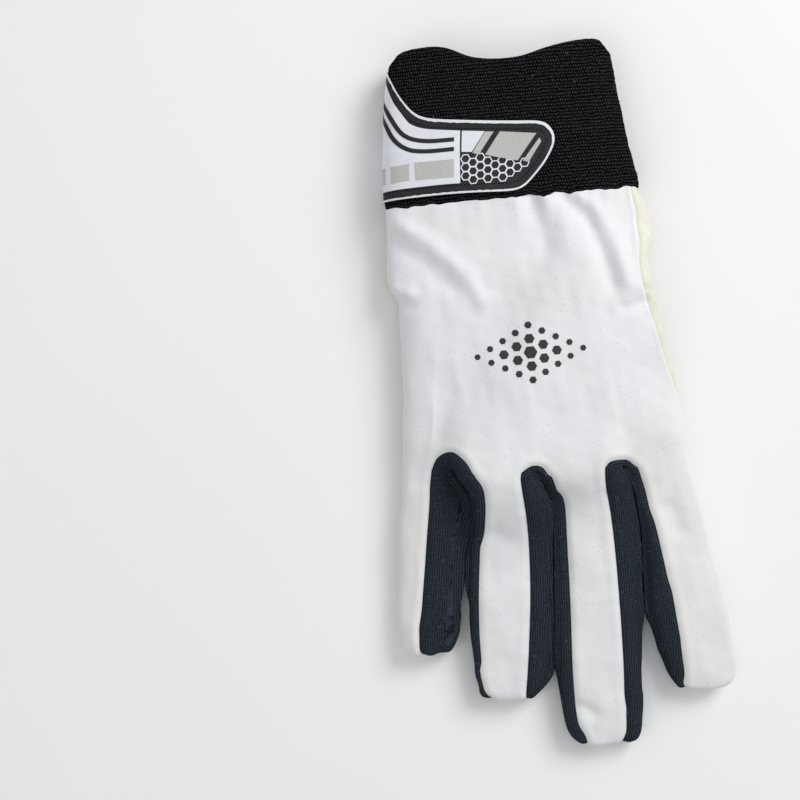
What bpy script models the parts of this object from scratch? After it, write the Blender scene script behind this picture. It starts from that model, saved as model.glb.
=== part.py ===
"""A right-hand wicketkeeping inner glove, lying on its palm with the thumb folded under it.

The fingers point to -Y, the cuff to +Y, the thumb side to +X and the back of the hand to +Z.
The hand is modelled as one coarse cage of quads, smoothed, and cut along its seams into the
panels that the real glove is sewn from. Each panel is then given its own cloth thickness.
The cuff is a flattened tube, and the moulded badge is wrapped round its little finger side.
"""

import math
from collections import namedtuple

import bmesh
import bpy
from mathutils import Vector

# Driving sizes, in metres.
PALM_WIDTH = 0.100
HAND_LENGTH = 0.100
FINGER_LENGTH = 0.0994
HAND_THICKNESS = 0.0165
FINGER_THICKNESS = 0.0118
CUFF_HEIGHT = 0.0565
CUFF_WIDTH = 0.0925
CUFF_THICKNESS = 0.0150
THUMB_LENGTH = 0.064
THUMB_WIDTH = 0.027
THUMB_THICKNESS = 0.0096
THUMB_CLEARANCE = 0.0020
BACK_WALL = 0.0011
PALM_WALL = 0.0013
SIDE_WALL = 0.0011
THUMB_WALL = 0.0012
CUFF_WALL = 0.0024
SEAM_GAP = 0.0004
BADGE_REACH = 0.0646
BADGE_THICKNESS = 0.0012
BADGE_RIM_WIDTH = 0.0013
BADGE_RIM_THICKNESS = 0.0016
BADGE_BORDER = 0.0042
BADGE_PANEL_REACH = 0.0305
BADGE_PANEL_THICKNESS = 0.0006
BADGE_GAP = 0.0003
FOLD_WIDTH = 0.0065
FOLD_HEIGHT = 0.0015
# The badge wraps under the cuff, which therefore lies this much above the ground.
CUFF_LIFT = 2 * BADGE_GAP + BADGE_THICKNESS + BADGE_PANEL_THICKNESS

# Roundness of the flattened sections: 2 is an ellipse, more is flatter with tighter sides.
FINGER_ROUNDNESS = 2.4
HAND_ROUNDNESS = 3.3
# The height of the hand's side seam, as a share of its thickness.
SIDE_SHARE = 0.38

# A finger's root is a share of HAND_LENGTH from the wrist seam, and its length a share of
# FINGER_LENGTH, the middle finger's.
Finger = namedtuple("Finger", "name root length outer_left outer_right")
FINGERS = (
    Finger("little", 0.970, 0.644, True, False),
    Finger("ring", 0.985, 0.820, False, False),
    Finger("middle", 1.000, 1.000, False, False),
    Finger("index", 1.000, 0.829, False, True),
)

# Cross sections of each finger. along is a share of its length from the root. left and right are
# its two sides, and seam_left and seam_right the edges of its back strip: shares of PALM_WIDTH
# from the wrist's centreline. tall is a share of FINGER_THICKNESS.
Section = namedtuple("Section", "along left right seam_left seam_right tall")
SECTIONS = {
    "little": (
        Section(0.000, -0.481, -0.298, -0.462, -0.384, 1.10),
        Section(0.130, -0.491, -0.241, -0.472, -0.392, 1.05),
        Section(0.300, -0.509, -0.252, -0.489, -0.412, 1.00),
        Section(0.520, -0.528, -0.288, -0.509, -0.433, 0.96),
        Section(0.760, -0.543, -0.305, -0.524, -0.460, 0.90),
        Section(0.940, -0.540, -0.326, -0.522, -0.470, 0.86),
    ),
    "ring": (
        Section(0.000, -0.288, -0.004, -0.228, -0.049, 1.16),
        Section(0.130, -0.236, 0.045, -0.200, -0.052, 1.08),
        Section(0.300, -0.262, 0.041, -0.225, -0.039, 1.03),
        Section(0.520, -0.288, 0.031, -0.245, -0.047, 0.98),
        Section(0.760, -0.288, 0.014, -0.261, -0.070, 0.92),
        Section(0.950, -0.272, -0.002, -0.244, -0.094, 0.80),
    ),
    "middle": (
        Section(0.000, 0.013, 0.304, 0.052, 0.250, 1.20),
        Section(0.130, 0.049, 0.358, 0.084, 0.260, 1.12),
        Section(0.300, 0.045, 0.361, 0.076, 0.267, 1.05),
        Section(0.520, 0.035, 0.342, 0.070, 0.268, 1.00),
        Section(0.760, 0.012, 0.324, 0.053, 0.264, 0.94),
        Section(0.955, 0.026, 0.316, 0.062, 0.250, 0.80),
    ),
    "index": (
        Section(0.000, 0.316, 0.562, 0.363, 0.535, 1.14),
        Section(0.130, 0.362, 0.573, 0.384, 0.552, 1.08),
        Section(0.300, 0.365, 0.597, 0.408, 0.576, 1.02),
        Section(0.520, 0.349, 0.628, 0.435, 0.604, 0.98),
        Section(0.760, 0.368, 0.658, 0.450, 0.634, 0.92),
        Section(0.950, 0.410, 0.664, 0.454, 0.640, 0.80),
    ),
}

# The hand between the wrist seam and the fingers. along is a share of HAND_LENGTH, left and right
# are shares of PALM_WIDTH, and thumb_seam is how far the palm leather comes up over the thumb
# side, as a share of PALM_WIDTH. tall is a share of HAND_THICKNESS.
HandSection = namedtuple("HandSection", "along left right thumb_seam tall")
HAND = (
    HandSection(0.00, -0.466, 0.466, 0.038, 0.90),
    HandSection(0.12, -0.464, 0.484, 0.050, 0.98),
    HandSection(0.25, -0.474, 0.472, 0.043, 1.02),
    HandSection(0.38, -0.448, 0.476, 0.040, 1.04),
    HandSection(0.54, -0.446, 0.508, 0.034, 1.04),
    HandSection(0.72, -0.456, 0.530, 0.002, 1.02),
    HandSection(0.88, -0.470, 0.556, 0.000, 1.00),
)

# The webs between the fingers: where each starts on the back and on the palm, as shares of
# HAND_LENGTH from the wrist seam, and its place across, as a share of PALM_WIDTH.
Web = namedtuple("Web", "name across back palm")
WEBS = (
    Web("little_ring", -0.298, 0.870, 0.915),
    Web("ring_middle", 0.004, 0.965, 0.945),
    Web("middle_index", 0.312, 0.965, 0.950),
)

# Soft folds pressed into the back of the hand. Ends are (across, along) shares of PALM_WIDTH and
# HAND_LENGTH, width and height are shares of FOLD_WIDTH and FOLD_HEIGHT, and a negative
# height is a dent.
Fold = namedtuple("Fold", "start end width height")
FOLDS = (
    Fold((0.19, 0.03), (0.33, 0.42), 1.00, 0.93),
    Fold((0.33, 0.20), (0.40, 0.40), 0.92, -1.00),
    Fold((-0.44, 0.14), (-0.12, 0.30), 1.15, -0.80),
    Fold((-0.46, 0.30), (-0.20, 0.42), 0.92, 0.67),
    Fold((0.02, 0.02), (0.06, 0.20), 0.92, -0.67),
)

# The thumb lies under the palm. Its ends are (across, along) shares as above.
THUMB_ROOT = (0.330, 0.36)
THUMB_TIP = (-0.020, 0.900)
ThumbSection = namedtuple("ThumbSection", "along wide tall")
THUMB = (
    ThumbSection(0.38, 1.05, 1.00),
    ThumbSection(0.58, 1.00, 1.00),
    ThumbSection(0.78, 0.93, 0.96),
    ThumbSection(0.93, 0.72, 0.82),
)

# The cuff's edge round the opening: across is a share of half its width, and back and palm are
# the heights of its two layers as shares of CUFF_HEIGHT.
CuffEdge = namedtuple("CuffEdge", "across back palm")
CUFF_EDGE = (
    CuffEdge(-1.00, 0.925, 0.925),
    CuffEdge(-0.90, 0.980, 0.950),
    CuffEdge(-0.68, 1.000, 0.955),
    CuffEdge(-0.50, 0.985, 0.950),
    CuffEdge(-0.22, 0.906, 0.895),
    CuffEdge(0.15, 0.888, 0.875),
    CuffEdge(0.46, 0.938, 0.920),
    CuffEdge(0.70, 0.964, 0.945),
    CuffEdge(0.90, 0.955, 0.940),
    CuffEdge(1.00, 0.885, 0.885),
)
# The cuff at shares of its height. middle and wide are shares of CUFF_WIDTH, and tall is a share
# of CUFF_THICKNESS.
CuffSection = namedtuple("CuffSection", "along middle wide tall")
CUFF = (
    CuffSection(0.00, 0.000, 1.000, 1.00),
    CuffSection(0.35, -0.010, 0.949, 0.98),
    CuffSection(0.70, -0.010, 0.897, 0.96),
    CuffSection(1.00, -0.002, 0.845, 0.98),
)
CUFF_QUARTER = 11
CUFF_CORNER = 4
CUFF_ROWS = 5

# The badge's outline: reach is a share of BADGE_REACH from the little finger side of the cuff,
# and low and high are its two edges as shares of CUFF_HEIGHT above the wrist seam.
BadgeEdge = namedtuple("BadgeEdge", "reach low high")
BADGE = (
    BadgeEdge(0.000, 0.060, 0.840),
    BadgeEdge(0.046, 0.062, 0.802),
    BadgeEdge(0.107, 0.068, 0.706),
    BadgeEdge(0.215, 0.072, 0.595),
    BadgeEdge(0.272, 0.073, 0.565),
    BadgeEdge(0.385, 0.073, 0.547),
    BadgeEdge(0.582, 0.064, 0.520),
    BadgeEdge(0.763, 0.058, 0.500),
    BadgeEdge(0.825, 0.085, 0.490),
    BadgeEdge(0.893, 0.159, 0.478),
    BadgeEdge(0.950, 0.230, 0.452),
    BadgeEdge(1.000, 0.335, 0.372),
)
BADGE_ROWS = 3

# Each node's colour, roughness and metallic value.
FINISHES = {
    "back_cloth": ((0.83, 0.83, 0.84), 0.75, 0.0),
    "chamois": ((0.84, 0.79, 0.58), 0.90, 0.0),
    "side_knit": ((0.012, 0.014, 0.018), 0.92, 0.0),
    "cuff_knit": ((0.008, 0.008, 0.009), 0.95, 0.0),
    "badge_black": ((0.020, 0.020, 0.022), 0.50, 0.0),
    "badge_white": ((0.80, 0.81, 0.83), 0.35, 0.0),
}

# The back and the palm each have a seam on both sides of every finger, and one at every web.
HAND_COLUMNS = 2 * len(FINGERS) + len(WEBS)
OUTER_SHARE = 0.80
# A fingertip's cage reaches this much further than the finger, as it is rounded off.
TIP_REACH = 1.15
# The valley between two fingers lies this far behind their roots.
WEB_DEPTH = 0.0014
# The thumb grows out of the palm under the index finger's columns, between these hand sections.
THUMB_ROWS = (2, 4)
THUMB_COLUMNS = 3
THUMB_CORNERS = 10


def across(share):
    return share * PALM_WIDTH


def along(share):
    return -share * HAND_LENGTH


def rounded(angle, power):
    """The point of a unit flattened circle at this angle, as (sideways, upwards)."""
    c, s = math.cos(angle), math.sin(angle)
    return (
        math.copysign(abs(c) ** (2 / power), c),
        math.copysign(abs(s) ** (2 / power), s),
    )


def angle_at(share, power):
    """The angle on the upper half of a flattened circle whose sideways share is this."""
    share = max(-1.0, min(1.0, share))
    return math.acos(math.copysign(abs(share) ** (power / 2), share))


def smooth_step(value):
    value = max(0.0, min(1.0, value))
    return value * value * (3 - 2 * value)


def read_curve(places, values, at):
    """A smooth curve through the values, read at one place."""
    if at <= places[0]:
        return values[0]
    if at >= places[-1]:
        return values[-1]
    i = max(k for k in range(len(places) - 1) if places[k] <= at)
    slopes = []
    for k in (i, i + 1):
        lower, upper = max(k - 1, 0), min(k + 1, len(places) - 1)
        slopes.append((values[upper] - values[lower]) / (places[upper] - places[lower]))
    span = places[i + 1] - places[i]
    t = (at - places[i]) / span
    return (
        values[i] * (1 + 2 * t) * (1 - t) ** 2
        + values[i + 1] * t * t * (3 - 2 * t)
        + span * t * (1 - t) * (slopes[0] * (1 - t) - slopes[1] * t)
    )


def column(table, field):
    return [getattr(row, field) for row in table]


def distance_to_line(x, y, start, end):
    """How far a point is from a straight stretch between two points in plan."""
    point, a, b = Vector((x, y)), Vector(start), Vector(end)
    t = max(0.0, min(1.0, (point - a).dot(b - a) / (b - a).length_squared))
    return (point - a - t * (b - a)).length


def thumb_end(shares):
    return across(shares[0]), along(shares[1])


def palm_rise(x, y):
    """How far the thumb underneath lifts the palm at this point."""
    half = THUMB_WIDTH / 2
    away = distance_to_line(x, y, thumb_end(THUMB_ROOT), thumb_end(THUMB_TIP))
    share = 1 - smooth_step((away - 1.15 * half) / (1.3 * half))
    return (THUMB_THICKNESS + THUMB_CLEARANCE) * share


def finger_angles(section, finger):
    """Where the ten corners of a finger's section lie, clockwise from its left back seam."""
    middle = (section.left + section.right) / 2
    half = (section.right - section.left) / 2
    left = angle_at((section.seam_left - middle) / half, FINGER_ROUNDNESS)
    right = angle_at((section.seam_right - middle) / half, FINGER_ROUNDNESS)
    low_right = -math.radians(64)
    low_left = -math.radians(116)
    turn = left - 2 * math.pi
    side = [right + (low_right - right) * k / 4 for k in (1, 2, 3)]
    other = [low_left + (turn - low_left) * k / 4 for k in (1, 2, 3)]
    if finger.outer_right:
        side[1] = -math.radians(8)
        side[2] = -math.radians(36)
    if finger.outer_left:
        other[1] = -math.radians(172)
        other[0] = -math.radians(144)
    return [left, right] + side + [low_right, low_left] + other


def finger_point(section, finger, angle, forward=0.0):
    """A point on a finger's section. forward moves it towards the fingertip."""
    middle = across((section.left + section.right) / 2)
    half = across((section.right - section.left) / 2)
    y = along(finger.root) - FINGER_LENGTH * finger.length * section.along - forward
    tall = FINGER_THICKNESS * section.tall
    low = palm_rise(middle, y)
    sideways, up = rounded(angle, FINGER_ROUNDNESS)
    return Vector((middle + half * sideways, y, low + tall * (1 + up) / 2))


def wrist_share(y):
    """How much of the cuff's own section the hand still has at this distance from the wrist."""
    return 1 - smooth_step(-y / (0.28 * HAND_LENGTH))


def hand_levels(x, y, tall):
    """The heights of the palm, of the side seam and of the back at this point."""
    wrist = wrist_share(y)
    rise = palm_rise(x, y)
    low = rise + (CUFF_LIFT - rise) * wrist
    high = HAND_THICKNESS * tall + 0.55 * rise
    high += (CUFF_LIFT + CUFF_THICKNESS - high) * wrist
    edge = low + (high - low) * (SIDE_SHARE + (0.5 - SIDE_SHARE) * wrist)
    return low, edge, high


def hand_point(row, share, up, y, tall):
    """A point on a section of the hand from its shares sideways and upwards."""
    wrist = wrist_share(y) ** 4
    middle = across((row.left + row.right) / 2) * (1 - wrist)
    half = across((row.right - row.left) / 2)
    half += (CUFF_WIDTH / 2 - half) * wrist
    x = middle + half * share
    low, edge, high = hand_levels(x, y, tall)
    z = edge + (high - edge) * up if up >= 0 else edge + (edge - low) * up
    return Vector((x, y, z))


def before_smoothing(ring):
    """The corners of a ring of the cage that smoothing moves to the points of this ring."""
    corners = list(ring)
    for _ in range(14):
        corners = [
            (point - (corners[i - 1] + corners[(i + 1) % len(ring)]) * 0.125) / 0.75
            for i, point in enumerate(ring)
        ]
    return corners


class Cage:
    """Points and faces of the coarse hand, with the panel that each face belongs to."""

    def __init__(self):
        self.points = []
        self.faces = []
        self.panels = []

    def add(self, point):
        self.points.append(point)
        return len(self.points) - 1

    def face(self, panel, *corners):
        self.faces.append(corners)
        self.panels.append(panel)

    def middle(self, corners):
        return sum((self.points[c] for c in corners), Vector()) / len(corners)


def side_panel(side, level, name):
    """The panel of a side face: the outer sides are shared by the back and the palm."""
    if side:
        return "back_panel" if level < 2 else "palm_panel"
    return name


def add_finger(cage, number):
    """Adds one finger and returns its root ring."""
    finger = FINGERS[number]
    sections = SECTIONS[finger.name]
    rings = []
    for section in sections:
        ring = [finger_point(section, finger, a) for a in finger_angles(section, finger)]
        if rings:
            ring = before_smoothing(ring)
        rings.append([cage.add(point) for point in ring])
    right_name = "" if finger.outer_right else f"side_{WEBS[number].name}"
    left_name = "" if finger.outer_left else f"side_{WEBS[number - 1].name}"
    for upper, lower in zip(rings, rings[1:]):
        for k in range(10):
            if k == 0:
                panel = "back_panel"
            elif k < 5:
                panel = side_panel(finger.outer_right, k - 1, right_name)
            elif k == 5:
                panel = "palm_panel"
            else:
                panel = side_panel(finger.outer_left, 9 - k, left_name)
            n = (k + 1) % 10
            cage.face(panel, upper[k], upper[n], lower[n], lower[k])
    close_fingertip(cage, finger, sections[-1], rings[-1], left_name, right_name)
    return rings[0]


def close_fingertip(cage, finger, section, ring, left_name, right_name):
    """Closes a finger with the ends of its back strip, its palm strip and its two sides."""
    forward = FINGER_LENGTH * finger.length * (1 - section.along) * TIP_REACH
    angles = finger_angles(section, finger)
    levels = (math.radians(38), 0.0, -math.radians(38))
    centre = across((section.left + section.right) / 2)
    half = across((section.right - section.left) / 2)
    columns = []
    for k, bottom in ((0, 6), (1, 5)):
        back, _ = rounded(angles[k], FINGER_ROUNDNESS)
        palm, _ = rounded(angles[bottom], FINGER_ROUNDNESS)
        corners = [ring[k]]
        for step, level in enumerate(levels, 1):
            point = finger_point(section, finger, level, forward)
            point.x = centre + half * (back + (palm - back) * (step / 4) ** 2)
            corners.append(cage.add(point))
        columns.append(corners + [ring[bottom]])
    left, right = columns
    for level in range(4):
        panel = "back_panel" if level < 2 else "palm_panel"
        cage.face(panel, left[level], right[level], right[level + 1], left[level + 1])
    sides = (
        (left, [ring[0], ring[9], ring[8], ring[7], ring[6]], finger.outer_left, left_name),
        (right, [ring[1], ring[2], ring[3], ring[4], ring[5]], finger.outer_right, right_name),
    )
    for inner, outer, outside, name in sides:
        for level in range(4):
            corners = [inner[level], outer[level], outer[level + 1], inner[level + 1]]
            corners = [c for i, c in enumerate(corners) if c not in corners[:i]]
            cage.face(side_panel(outside, level, name), *corners)


def add_web(cage, number, left_ring, right_ring):
    """Adds the web between two fingers and returns its points on the back and on the palm."""
    web = WEBS[number]
    x = across(web.across)
    left = [left_ring[k] for k in (1, 2, 3, 4, 5)]
    right = [right_ring[k] for k in (0, 9, 8, 7, 6)]
    middle = [cage.add(Vector((x, along(web.back), hand_levels(x, along(web.back), 1.0)[2])))]
    crotch = cage.middle((left[2], right[2])).y + WEB_DEPTH
    for level, back_off in ((1, 0.45), (2, 0.0), (3, 0.25)):
        point = cage.middle((left[level], right[level]))
        point.x = x
        end = along(web.back) if level < 2 else along(web.palm)
        point.y = crotch + (end - crotch) * back_off
        middle.append(cage.add(point))
    middle.append(cage.add(Vector((x, along(web.palm), palm_rise(x, along(web.palm))))))
    for level in range(4):
        name = f"side_{web.name}"
        cage.face(
            name, left[level], middle[level], middle[level + 1], left[level + 1]
        )
        cage.face(
            name, middle[level], right[level], right[level + 1], middle[level + 1]
        )
    return middle[0], middle[-1]


def knuckle_ring(cage):
    """The hand's last ring, made of the roots of the fingers and the webs between them."""
    roots = [add_finger(cage, number) for number in range(len(FINGERS))]
    webs = [add_web(cage, n, roots[n], roots[n + 1]) for n in range(len(WEBS))]
    back, palm = [], []
    for number, root in enumerate(roots):
        back += root[0:2]
        palm = root[5:7] + palm
        if number < len(webs):
            back.append(webs[number][0])
            palm = [webs[number][1]] + palm
    return back + roots[-1][2:5] + palm + roots[0][7:10]


def side_angles(row):
    """Where the three corners of each outer side lie, from the back to the palm."""
    outer = angle_at(OUTER_SHARE, HAND_ROUNDNESS)
    width = row.right - row.left
    seam = angle_at(1 - 2 * row.thumb_seam / width, HAND_ROUNDNESS)
    right = [(0.4 * outer + 0.6 * seam), seam, 0.5 * seam - 0.4 * outer]
    left = [math.pi - 0.4 * outer, math.pi, math.pi + 0.4 * outer]
    return right, left


def hand_ring(cage, row, last):
    """One ring of the hand, whose columns drift from evenly spaced to the fingers' own."""
    knuckle = HAND[-1]
    middle = across((knuckle.left + knuckle.right) / 2)
    half = across((knuckle.right - knuckle.left) / 2)
    drift = smooth_step(row.along)
    count = HAND_COLUMNS
    right, left = side_angles(row)
    ring = []
    for place, corner in enumerate(last):
        target = cage.points[corner]
        y = target.y * row.along
        if count <= place < count + 3:
            share, up = rounded(right[place - count], HAND_ROUNDNESS)
        elif place >= 2 * count + 3:
            share, up = rounded(left[2 * count + 5 - place], HAND_ROUNDNESS)
        else:
            step = place if place < count else 2 * count + 2 - place
            even = OUTER_SHARE * (2 * step / (count - 1) - 1)
            own = max(-OUTER_SHARE, min(OUTER_SHARE, (target.x - middle) / half))
            share = even + (own - even) * drift
            up = (1 - abs(share) ** HAND_ROUNDNESS) ** (1 / HAND_ROUNDNESS)
            up = up if place < count else -up
        ring.append(hand_point(row, share, up, y, row.tall))
    return [cage.add(point) for point in before_smoothing(ring)]


def add_hand(cage):
    """Adds the hand between the wrist seam and the fingers."""
    last = knuckle_ring(cage)
    rings = [hand_ring(cage, row, last) for row in HAND] + [last]
    count = HAND_COLUMNS
    block = range(count + 3, count + 3 + THUMB_COLUMNS)
    first, end = THUMB_ROWS
    for number, (upper, lower) in enumerate(zip(rings, rings[1:])):
        for k in range(len(upper)):
            if k in block and first <= number < end:
                continue
            in_back = k < count + 1 or k >= 2 * count + 4
            n = (k + 1) % len(upper)
            panel = "back_panel" if in_back else "palm_panel"
            cage.face(panel, upper[k], upper[n], lower[n], lower[k])
    add_thumb(cage, [ring[block[0]:block[-1] + 2] for ring in rings[first:end + 1]])


def thumb_ring(cage, section):
    """The corners of one section of the thumb, from its upper side towards the fingers."""
    root, tip = Vector(thumb_end(THUMB_ROOT)), Vector(thumb_end(THUMB_TIP))
    way = (tip - root).normalized()
    aside = Vector((-way.y, way.x))
    centre = root + way * THUMB_LENGTH * section.along
    half = THUMB_WIDTH / 2 * section.wide
    tall = THUMB_THICKNESS * section.tall
    ring = []
    for k in range(THUMB_CORNERS):
        angle = math.pi / 2 - 2 * math.pi * k / THUMB_CORNERS
        sideways, up = rounded(angle, FINGER_ROUNDNESS)
        place = centre + aside * half * sideways
        ring.append(Vector((place.x, place.y, tall * (1 + up) / 2)))
    return [cage.add(point) for point in before_smoothing(ring)]


def add_thumb(cage, block):
    """Grows the thumb out of a block of the palm's corners, and folds it under the palm."""
    near, between, far = block
    mouth = [far[2], far[1], far[0], between[0], *near, between[-1], far[3]]
    rings = [thumb_ring(cage, section) for section in THUMB]
    elbow = []
    for k in range(THUMB_CORNERS):
        start, end = cage.points[mouth[k]], cage.points[rings[0][k]]
        point = start + (end - start) * 0.5
        if k in (0, 1, THUMB_CORNERS - 1):
            point.z = end.z + THUMB_CLEARANCE * 0.4
        elbow.append(cage.add(point))
    rings = [mouth, elbow] + rings
    for upper, lower in zip(rings, rings[1:]):
        for k in range(THUMB_CORNERS):
            n = (k + 1) % THUMB_CORNERS
            cage.face("thumb", upper[k], upper[n], lower[n], lower[k])
    root, tip = Vector(thumb_end(THUMB_ROOT)), Vector(thumb_end(THUMB_TIP))
    end = root + (tip - root).normalized() * THUMB_LENGTH
    end = cage.add(Vector((end.x, end.y, THUMB_THICKNESS * 0.4)))
    last = rings[-1]
    for k in range(0, THUMB_CORNERS, 2):
        cage.face("thumb", end, last[k], last[k + 1], last[(k + 2) % THUMB_CORNERS])


def press_folds(mesh):
    """Presses the soft folds into the upper half of the smoothed skin."""
    for vertex in mesh.vertices:
        facing = smooth_step(vertex.normal.z)
        for fold in FOLDS:
            start = (across(fold.start[0]), along(fold.start[1]))
            end = (across(fold.end[0]), along(fold.end[1]))
            away = distance_to_line(vertex.co.x, vertex.co.y, start, end)
            lift = facing * math.exp(-((away / (fold.width * FOLD_WIDTH)) ** 2))
            vertex.co.z += fold.height * FOLD_HEIGHT * lift


def turn_faces_out(mesh):
    shape = bmesh.new()
    shape.from_mesh(mesh)
    bmesh.ops.recalc_face_normals(shape, faces=shape.faces[:])
    shape.to_mesh(mesh)
    shape.free()


def smoothed_skin():
    """The whole hand as one smooth open surface, and the panel of each of its faces."""
    cage = Cage()
    add_hand(cage)
    names = sorted(set(cage.panels))
    mesh = bpy.data.meshes.new("hand_cage")
    mesh.from_pydata(cage.points, [], cage.faces)
    for polygon, panel in zip(mesh.polygons, cage.panels):
        polygon.material_index = names.index(panel)
    for name in names:
        mesh.materials.append(bpy.data.materials.new(name))
    turn_faces_out(mesh)
    guide = bpy.data.objects.new("hand_cage", mesh)
    bpy.context.scene.collection.objects.link(guide)
    smoothing = guide.modifiers.new("smooth", "SUBSURF")
    smoothing.levels = smoothing.render_levels = 1
    graph = bpy.context.evaluated_depsgraph_get()
    skin = bpy.data.meshes.new_from_object(guide.evaluated_get(graph))
    bpy.data.objects.remove(guide)
    press_folds(skin)
    return skin, names


def inset_moves(shape, distance):
    """How each vertex on an open edge moves to draw that edge in by a distance."""
    inward = {}
    for edge in shape.edges:
        if not edge.is_boundary:
            continue
        a, b = edge.verts
        way = (b.co - a.co).normalized()
        inside = edge.link_faces[0].calc_center_median() - (a.co + b.co) / 2
        inside = (inside - way * inside.dot(way)).normalized()
        for vertex in edge.verts:
            inward.setdefault(vertex, []).append(inside)
    moves = {}
    for vertex, ways in inward.items():
        both = sum(ways, Vector())
        shared = max(1 + ways[0].dot(ways[-1]), 0.4)
        moves[vertex] = both * distance / shared if len(ways) > 1 else both * distance
    return moves


def panel_from_skin(skin, index):
    """The faces of one panel, drawn in from its seams by the seam gap."""
    shape = bmesh.new()
    shape.from_mesh(skin)
    others = [f for f in shape.faces if f.material_index != index]
    bmesh.ops.delete(shape, geom=others, context="FACES")
    for vertex, move in inset_moves(shape, SEAM_GAP).items():
        vertex.co += move
    for face in shape.faces:
        face.material_index = 0
        face.smooth = True
    mesh = bpy.data.meshes.new("panel")
    shape.to_mesh(mesh)
    shape.free()
    return mesh


def material(name):
    """A plain Principled material with the finish's own values."""
    colour, roughness, metallic = FINISHES[name]
    made = bpy.data.materials.get(name) or bpy.data.materials.new(name)
    made.use_nodes = True
    shader = made.node_tree.nodes["Principled BSDF"]
    shader.inputs["Base Color"].default_value = (*colour, 1.0)
    shader.inputs["Roughness"].default_value = roughness
    shader.inputs["Metallic"].default_value = metallic
    return made


def place(mesh, name, finish, glove, collection):
    """Makes a mesh a named piece of the glove."""
    mesh.materials.clear()
    mesh.materials.append(material(finish))
    piece = bpy.data.objects.new(name, mesh)
    collection.objects.link(piece)
    piece.parent = glove
    return piece


def thicken(piece, wall, offset):
    """Gives a surface a wall, inwards for an offset of -1 and outwards for 1."""
    solid = piece.modifiers.new("wall", "SOLIDIFY")
    solid.thickness = wall
    solid.offset = offset


def cuff_section(height):
    """The cuff's middle, half its width and half its thickness at a height above the seam."""
    places = column(CUFF, "along")
    middle, wide, tall = (
        read_curve(places, column(CUFF, field), height / CUFF_HEIGHT)
        for field in ("middle", "wide", "tall")
    )
    return CUFF_WIDTH * middle, CUFF_WIDTH * wide / 2, CUFF_THICKNESS * tall / 2


def facet_angle(facet):
    """The angle of a corner of the cuff's ring. Corner 0 is on the little finger side, and the
    back comes next. The corners are close together at the tight sides, and even elsewhere."""
    turns, step = divmod(facet, CUFF_QUARTER)
    flipped = turns % 2 == 1
    if flipped:
        step = CUFF_QUARTER - step
    corner = math.radians(52)
    if step <= CUFF_CORNER:
        angle = corner * step / CUFF_CORNER
    else:
        widest, _ = rounded(corner, HAND_ROUNDNESS)
        share = widest * (CUFF_QUARTER - step) / (CUFF_QUARTER - CUFF_CORNER)
        angle = angle_at(share, HAND_ROUNDNESS)
    quarter = turns // 2 * math.pi
    return math.pi - quarter - (math.pi - angle if flipped else angle)


def cuff_point(facet, height, out):
    """A corner of the cuff's ring at a height above the wrist seam. out moves the point
    outwards from the cuff's face."""
    middle, half, tall = cuff_section(height)
    sideways, up = rounded(facet_angle(facet), HAND_ROUNDNESS)
    slope = HAND_ROUNDNESS - 1
    normal = Vector((
        math.copysign(abs(sideways) ** slope, sideways) / half,
        0.0,
        math.copysign(abs(up) ** slope, up) / tall,
    )).normalized()
    centre = Vector((middle, height, CUFF_LIFT + CUFF_THICKNESS / 2))
    return centre + Vector((half * sideways, 0.0, tall * up)) + normal * out


def cuff_edge(facet):
    """The height of the cuff's edge at a corner of its ring."""
    sideways, up = rounded(facet_angle(facet), HAND_ROUNDNESS)
    field = "back" if up >= 0 else "palm"
    share = read_curve(column(CUFF_EDGE, "across"), column(CUFF_EDGE, field), sideways)
    return CUFF_HEIGHT * share


def grid_mesh(name, rows, closed):
    """A surface through rows of points, closed round or left open at its ends."""
    mesh = bpy.data.meshes.new(name)
    width = len(rows[0])
    faces = []
    for r in range(len(rows) - 1):
        for c in range(width if closed else width - 1):
            n = (c + 1) % width
            faces.append((r * width + c, r * width + n,
                          (r + 1) * width + n, (r + 1) * width + c))
    mesh.from_pydata([p for row in rows for p in row], [], faces)
    for polygon in mesh.polygons:
        polygon.use_smooth = True
    return mesh


def cuff_surface():
    """The outside of the cuff, from the wrist seam to its wavy edge."""
    rows = []
    for r in range(CUFF_ROWS + 1):
        row = []
        for facet in range(4 * CUFF_QUARTER):
            height = SEAM_GAP + (cuff_edge(facet) - SEAM_GAP) * r / CUFF_ROWS
            row.append(cuff_point(facet, height, 0.0))
        rows.append(row)
    return grid_mesh("cuff", rows, True)


def wrap_point(reach, height, out):
    """A point over the cuff's facets at a distance round it from the little finger side."""
    way = 1 if reach >= 0 else -1
    left, facet = abs(reach), 0
    while True:
        here = cuff_point(facet * way, height, 0.0)
        there = cuff_point((facet + 1) * way, height, 0.0)
        step = (there - here).length
        if left <= step:
            break
        left -= step
        facet += 1
    here = cuff_point(facet * way, height, out)
    there = cuff_point((facet + 1) * way, height, out)
    return here + (there - here) * left / step


def badge_edge(field, reach, inset):
    """The height of one edge of the badge, drawn in at right angles by an inset."""
    places = column(BADGE, "reach")
    values = column(BADGE, field)
    share = abs(reach) / BADGE_REACH
    step = 0.01
    rise = read_curve(places, values, share + step) - read_curve(places, values, share)
    slope = rise * CUFF_HEIGHT / (step * BADGE_REACH)
    towards = 1 if field == "low" else -1
    height = read_curve(places, values, share) * CUFF_HEIGHT
    return height + towards * inset * math.hypot(1, slope)


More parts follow.
